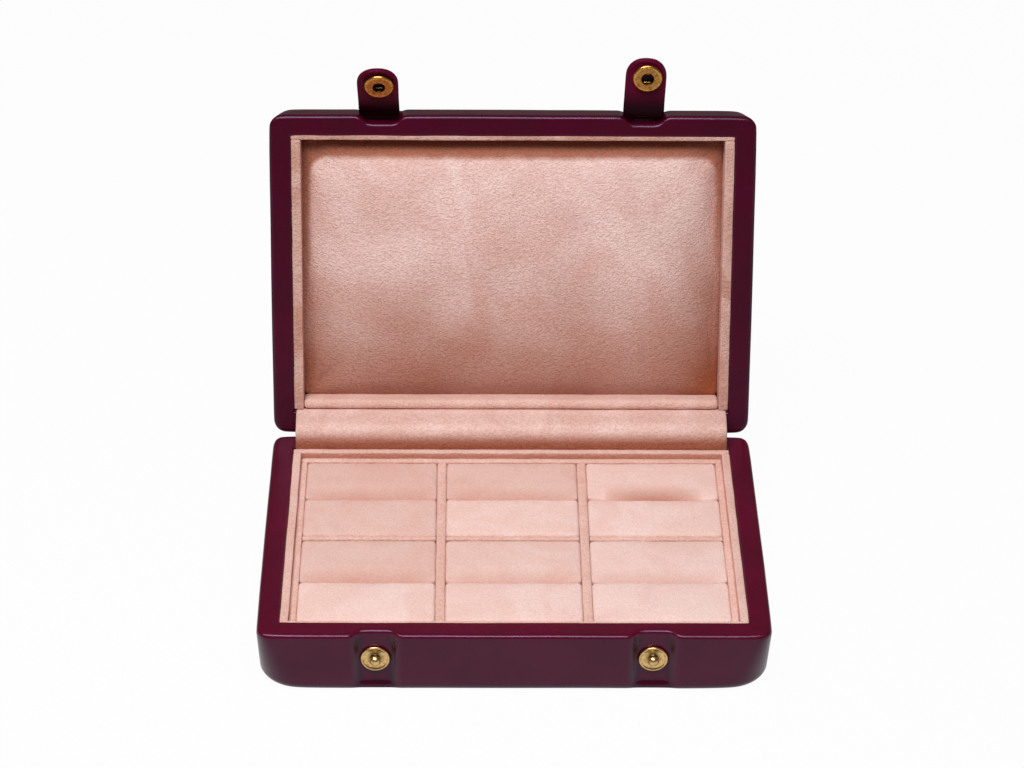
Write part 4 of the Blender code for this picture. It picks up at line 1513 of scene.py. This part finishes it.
@dataclass
class ClosingStrap:
    """One leather strap with its brass socket, spring wires and cap."""

    side: Side
    width: float = 15.2 * MM
    length: float = 24.0 * MM
    thickness: float = 1.8 * MM
    tip: float = 0.8 * MM
    reach: float = 16.5 * MM
    bead: float = 1.3 * MM
    closed_lean: float = math.radians(8)
    socket: float = 5.5 * MM
    socket_height: float = 1.1 * MM
    shoulder: float = 0.8 * MM
    bore: float = 2.1 * MM
    wire: float = 1.75 * MM
    cap: float = 5.3 * MM
    snap_shift: float = 0.5 * MM
    room: float = 0.2 * MM

    def __post_init__(self) -> None:
        """Find the strap's own frame on the open lid, its lean and its shift."""
        hinge = joint(f"strap_{self.side.word}_hinge")
        lean, shift, self.rise = ((1.2, -0.8 * MM, -0.7 * MM) if self.side is Side.LEFT
                                  else (-1.8, -0.45 * MM, 0.1 * MM))
        bend = math.radians(hinge["range_deg"][1]) + self.closed_lean
        self.body = f"strap_{self.side.word}"
        self.seat = (Matrix.Translation(hinge["pos_m"])
                     @ Matrix.Rotation(-(LID_ANGLE + bend), 4, "X"))
        self.lean = (Matrix.Translation((shift, -self.room, 0))
                     @ Matrix.Rotation(math.radians(lean), 4, "Y"))

    def build(self) -> list[Piece]:
        """Build the strap and its snap parts.

        Returns:
            The strap, socket, wires and cap.
        """
        face = self.thickness / 2 + 0.3 * MM
        return [self._tongue(), self._socket(face), *self._wires(face), self._cap(face)]

    def _wires(self, face: float) -> list[Piece]:
        """Stretch the socket's two spring wires across its bore.

        Args:
            face: How far the strap's inner face lies from its middle.

        Returns:
            The two wires.
        """
        barrel = [(0.06 * MM, 1.8 * MM), (0.18 * MM, 1.75 * MM), (0.2 * MM, 1.6 * MM)]
        profile = [(radius, -height) for radius, height in barrel] + barrel[::-1]
        return [self._brass(Workpiece.turned(f"socket_wire_{word}_{self.side.word}", profile, 12),
                            (0, face + self.rise, up * self.wire - self.reach),
                            Matrix.Rotation(QUARTER, 4, "Y"), Finish.SOCKET_BRASS, 60)
                for word, up in (("upper", 1), ("lower", -1))]

    def _brass(self, piece: Workpiece, place: Point, turn: Matrix, finish: Finish,
               sharp: float, *nodes: str) -> Piece:
        """Set a snap part on the strap, a little off the tongue's middle, and finish it.

        Args:
            piece: The turned part.
            place: Its place in the strap's frame.
            turn: Its turn there.
            finish: Its finish.
            sharp: The angle in degrees above which its edges stay sharp.
            *nodes: CAD nodes that it replaces.

        Returns:
            The part.
        """
        own = Matrix.Translation((self.snap_shift, 0, 0))
        piece.place(self.seat @ own @ self.lean @ (Matrix.Translation(place) @ turn))
        return piece.finish(finish, self.body, "polished_brass", *nodes, sharp=sharp)

    def _tongue(self) -> Piece:
        """Shape the leather tongue with its turned edge.

        Returns:
            The tongue.
        """
        half, thick = self.width / 2, self.thickness / 2
        piece = Workpiece.block(self.body + "_leather", (-half, -thick, -self.length),
                                (half, thick, thick))
        piece.round_edges(half - self.tip, 6, lambda a, b: abs(a.y - b.y) > TINY
                          and max(a.z, b.z) < -half)
        piece.round_edges(thick - 0.1 * MM, 3, lambda a, b: abs(a.y - b.y) < TINY
                          and min(a.z, b.z) > 0)
        for face_side in (1, -1):
            piece.pick_faces(lambda centre, normal: normal.y * face_side > FACING)
            for width, depth in ((0.55 * self.bead, 0.0), (0.45 * self.bead, 0.0),
                                 (0.3 * MM, -0.22 * MM), (0.8 * MM, 0.0)):
                piece.inset(width, depth)
        for z in range(1, 9):
            piece.cut((0, 0, -z * 2.2 * MM), (0, 0, 1))
        piece.round_edges(0.45 * MM, 2, lambda a, b: self._is_outline(a) and self._is_outline(b)
                          and abs(a.y - b.y) < TINY and abs(a.y) > thick - TINY)
        piece.soften(2)
        piece.reshape(self._bow)
        piece.mend()
        # Painted shade: the root's inner face and the leather seen through the bore turn near
        # black.
        piece.stroke(self._wear)
        piece.place(self.seat @ self.lean)
        piece.reshape(waver(0.1 * MM, 8 * MM, self.side.value * 2.0))
        return piece.finish(Finish.STRAP, self.body, "strap_leather", self.body)

    def _wear(self, co: Vector) -> float:
        """Tell how much painted shade the leather takes: at the root's inner face and behind the
        bore.

        Args:
            co: A point in the strap's frame.

        Returns:
            Its share of the painted shade.
        """
        root = 0.93 * ramp(co.z, -0.52 * self.length, -0.12 * self.length)
        bore = ramp(-math.hypot(co.x, co.z + self.reach), -4.2 * MM, -3.2 * MM)
        return max(root, bore) * ramp(co.y, -self.thickness / 2, 0)

    def _is_outline(self, co: Vector) -> bool:
        """Tell whether a point lies on the tongue's outer outline below its root.

        Args:
            co: A point in the strap's frame.

        Returns:
            True if it does.
        """
        half = self.width / 2
        if co.z > -self.length + half:
            return abs(co.x) > half - 0.1 * MM and co.z < 0
        over = Vector((max(0.0, abs(co.x) - self.tip), co.z + self.length - half + self.tip))
        return over.length > half - 1.0 * MM

    def _bow(self, co: Vector) -> Vector:
        """Give the tongue the slight curl of leather that lay closed."""
        share = clamp(-co.z / self.length)
        return co - Vector((0, 0.3 * MM * math.sin(math.pi * share) * (1 - 0.4 * share), 0))

    def _socket(self, face: float) -> Piece:
        """Turn the socket with its rounded shoulder and its bore.

        Args:
            face: How far the strap's inner face lies from its middle.

        Returns:
            The socket.
        """
        top, edge, bore, out = self.socket_height, self.shoulder, self.bore, self.socket
        points = [*arc((out - edge, top - edge), (edge, edge), QUARTER, 0, 5),
                  (out, 0.25 * MM), (out - 0.1 * MM, 0.0), (bore + 0.6 * MM, 0.0),
                  (bore + 0.6 * MM, -1.6 * MM), (bore, -1.6 * MM), (bore, top - 0.25 * MM),
                  (bore + 0.2 * MM, top - 0.04 * MM), (bore + 0.5 * MM, top + 0.04 * MM),
                  (bore + 1.1 * MM, top - 0.05 * MM), (out - 1.2 * MM, top - 0.06 * MM)]
        piece = Workpiece.turned("brass_socket_" + self.side.word, points, is_loop=True)
        # Painted shade: the bore black and the flat face brown, while the rim stays bright.
        piece.stroke(self._tarnish)
        return self._brass(piece, (0, face, -self.reach), Matrix.Rotation(-QUARTER, 4, "X"),
                           Finish.SOCKET_BRASS, 45, "snap_socket_" + self.side.word)

    def _tarnish(self, co: Vector) -> float:
        """Tell how much painted shade the socket takes: black in its bore, brown on its flat
        face.
        """
        out = -math.hypot(co.x, co.y)
        return max(ramp(out, -self.bore - 0.45 * MM, -self.bore - 0.15 * MM),
                   0.42 * ramp(out, -self.socket + 0.7 * MM, -self.socket + 1.3 * MM))

    def _cap(self, face: float) -> Piece:
        """Turn the domed cap on the strap's outer face.

        Args:
            face: How far the strap's outer face lies from its middle.

        Returns:
            The cap.
        """
        points = [(0.15 * MM, 1.3 * MM),
                  *arc((0, 0.5 * MM), (self.cap, 0.8 * MM), QUARTER, 0, 9)[1:],
                  (self.cap, 0.25 * MM), (self.cap - 0.15 * MM, 0.05 * MM),
                  (self.cap - 0.4 * MM, 0.0), (0.2 * MM, 0.0)]
        piece = Workpiece.turned("brass_cap_" + self.side.word, points)
        return self._brass(piece, (0, -face, -self.reach), Matrix.Rotation(QUARTER, 4, "X"),
                           Finish.BRASS, 45, "snap_cap_" + self.side.word)


# Boards and small parts that keep their CAD shape, by finish and material slot

KEPT_NODES = {
    (Finish.BOARD, "grey_board"): ("base_carcass", "lid_carcass", "tray_floor",
                                   "lid_cushion_board"),
    (Finish.STRIP, "burgundy_leather"): ("base_bottom_panel",),
    (Finish.BRASS, "polished_brass"): ("stud_washer_left", "stud_washer_right"),
    (Finish.STRAP, "strap_leather"): ("strap_anchor_left", "strap_anchor_right"),
}


def dress_kept_nodes() -> None:
    """Give each CAD node that stays in sight its material."""
    for (finish, slot), nodes in KEPT_NODES.items():
        for node in nodes:
            item = frame["nodes"][node]
            item.data.materials.clear()
            item.data.materials.append(finish.material)
            LOG.info("%s: keeps its CAD shape", node)


# Studio


@dataclass(frozen=True)
class Studio:
    """The pale floor, the soft lamp and the camera."""

    lens: float = 110.75
    sensor: float = 36
    camera_place: tuple[float, float, float] = (-0.01644, -0.92834, 0.71029)
    yaw: float = math.radians(0.955)
    pitch: float = math.radians(33.742)
    roll: float = math.radians(0.667)
    key_place: tuple[float, float, float] = (-0.16, -0.36, 0.95)
    key_aim: tuple[float, float, float] = (0, 0.02, 0.05)
    key_size: tuple[float, float] = (0.85, 0.36)
    key_power: float = 10.2
    world_strength: float = 0.12
    floor_size: float = 12
    floor_tone: float = 0.32
    floor_glow: float = 0.94
    glow_strength: float = 1.03
    mirrored_glow: tuple[float, float] = (0.7, 0.06)
    mirrored_depth: tuple[float, float] = (0.02, 0.2)

    def build(self) -> None:
        """Set up the whole studio."""
        self._camera()
        self._lamp()
        self._world()
        self._floor()
        bpy.context.scene.view_settings.view_transform = "Standard"

    def _hang(self, data: bpy.types.Camera | bpy.types.Light, matrix: Matrix) -> Piece:
        """Put a camera or a lamp in the scene."""
        item = bpy.data.objects.new(data.name, data)
        bpy.context.scene.collection.objects.link(item)
        item.matrix_world = matrix
        return item

    def _camera(self) -> None:
        """Set the camera where the photograph was taken from."""
        lens = bpy.data.cameras.new("photo_camera")
        lens.lens, lens.sensor_width = self.lens, self.sensor
        lens.clip_start, lens.clip_end = 0.05, 20
        right = Vector((math.cos(self.yaw), -math.sin(self.yaw), 0))
        ahead = Vector((math.sin(self.yaw) * math.cos(self.pitch),
                        math.cos(self.yaw) * math.cos(self.pitch), -math.sin(self.pitch)))
        up = right.cross(ahead)
        axis_x = math.cos(self.roll) * right + math.sin(self.roll) * up
        axis_y = -math.sin(self.roll) * right + math.cos(self.roll) * up
        turn = Matrix((axis_x, axis_y, -ahead)).transposed().to_4x4()
        bpy.context.scene.camera = self._hang(lens, Matrix.Translation(self.camera_place) @ turn)

    def _lamp(self) -> None:
        """Hang the soft overhead lamp, wide and less deep."""
        lamp = bpy.data.lights.new("overhead", "AREA")
        lamp.shape = "RECTANGLE"
        lamp.size, lamp.size_y = self.key_size
        lamp.energy = self.key_power
        way = Vector(self.key_aim) - Vector(self.key_place)
        self._hang(lamp, Matrix.Translation(self.key_place)
                   @ way.to_track_quat("-Z", "Y").to_matrix().to_4x4())

    def _world(self) -> None:
        """Light the surroundings evenly, and show them white to the camera."""
        world = bpy.data.worlds.new("studio")
        bpy.context.scene.world = world
        world.use_nodes = True
        sheet = NodeSheet(world.node_tree)
        world.node_tree.nodes.clear()
        plain, white = (sheet.add("Background", {"Color": (1, 1, 1, 1), "Strength": strength})
                        for strength in (self.world_strength, 1.0))
        seen = sheet.add("LightPath").outputs["Is Camera Ray"]
        mixed = sheet.add("MixShader", {0: seen, 1: plain.outputs[0], 2: white.outputs[0]})
        sheet.add("OutputWorld", {"Surface": mixed.outputs[0]})

    def _floor(self) -> None:
        """Lay the white floor, which keeps a faint shadow."""
        Workpiece.clear()
        bpy.ops.mesh.primitive_plane_add(size=self.floor_size, location=(0, 0, 0))
        floor = bpy.context.active_object
        floor.name = "studio_floor"
        sheet = MaterialSheet("floor_white")
        sheet.fill(sheet.shader, {"Base Color": (*[self.floor_tone] * 3, 1), "Roughness": 0.9,
                                  "Specular IOR Level": 0.0})
        glow = sheet.add("Emission", {"Color": (1, 1, 1, 1), "Strength": self.glow_strength})
        path = sheet.add("LightPath").outputs
        depth = sheet.add("SeparateXYZ", {"Vector": sheet.place}).outputs["Y"]
        # In reflections alone the floor glows, strongly near the front and faintly behind: a
        # painted reflection source.
        mirrored = sheet.times(path["Is Glossy Ray"], sheet.remap(
            depth, *self.mirrored_depth, *self.mirrored_glow))
        seen = sheet.math("MAXIMUM", path["Is Camera Ray"],
                          sheet.math("MAXIMUM", mirrored, path["Is Transmission Ray"]))
        mixed = sheet.add("MixShader", {0: sheet.times(seen, self.floor_glow),
                                        1: sheet.shader.outputs[0], 2: glow.outputs[0]})
        sheet.fill(sheet.tree.nodes["Material Output"], {"Surface": mixed.outputs[0]})
        floor.data.materials.append(sheet.material)


@dataclass
class JewelleryCase:
    """The whole open case."""

    base_corner: float = 15.5 * MM
    lid_corner: float = 10 * MM

    def build(self) -> list[Piece]:
        """Build every sub-assembly in order.

        Returns:
            Every new piece.
        """
        pieces = [LeatherCover(Half.BASE, self.base_corner).build(),
                  LeatherCover(Half.LID, self.lid_corner).build()]
        pieces += [strip.build() for strip in lining_strips()]
        pieces += RingTray().build()
        pieces += [LidCushion().build(), Hinge().build_cloth(), Hinge().build_leather()]
        for side in Side:
            pieces += [SnapStud(side).build(), *ClosingStrap(side).build()]
        dress_kept_nodes()
        Workpiece.clear()
        return pieces


def main() -> None:
    """Build the studio and the case, and log how many new pieces there are."""
    logging.basicConfig(level=logging.INFO, format="%(relativeCreated)d %(name)s %(message)s")
    Studio().build()
    LOG.info("%d new pieces", len(JewelleryCase().build()))


if __name__ == "__main__":
    main()
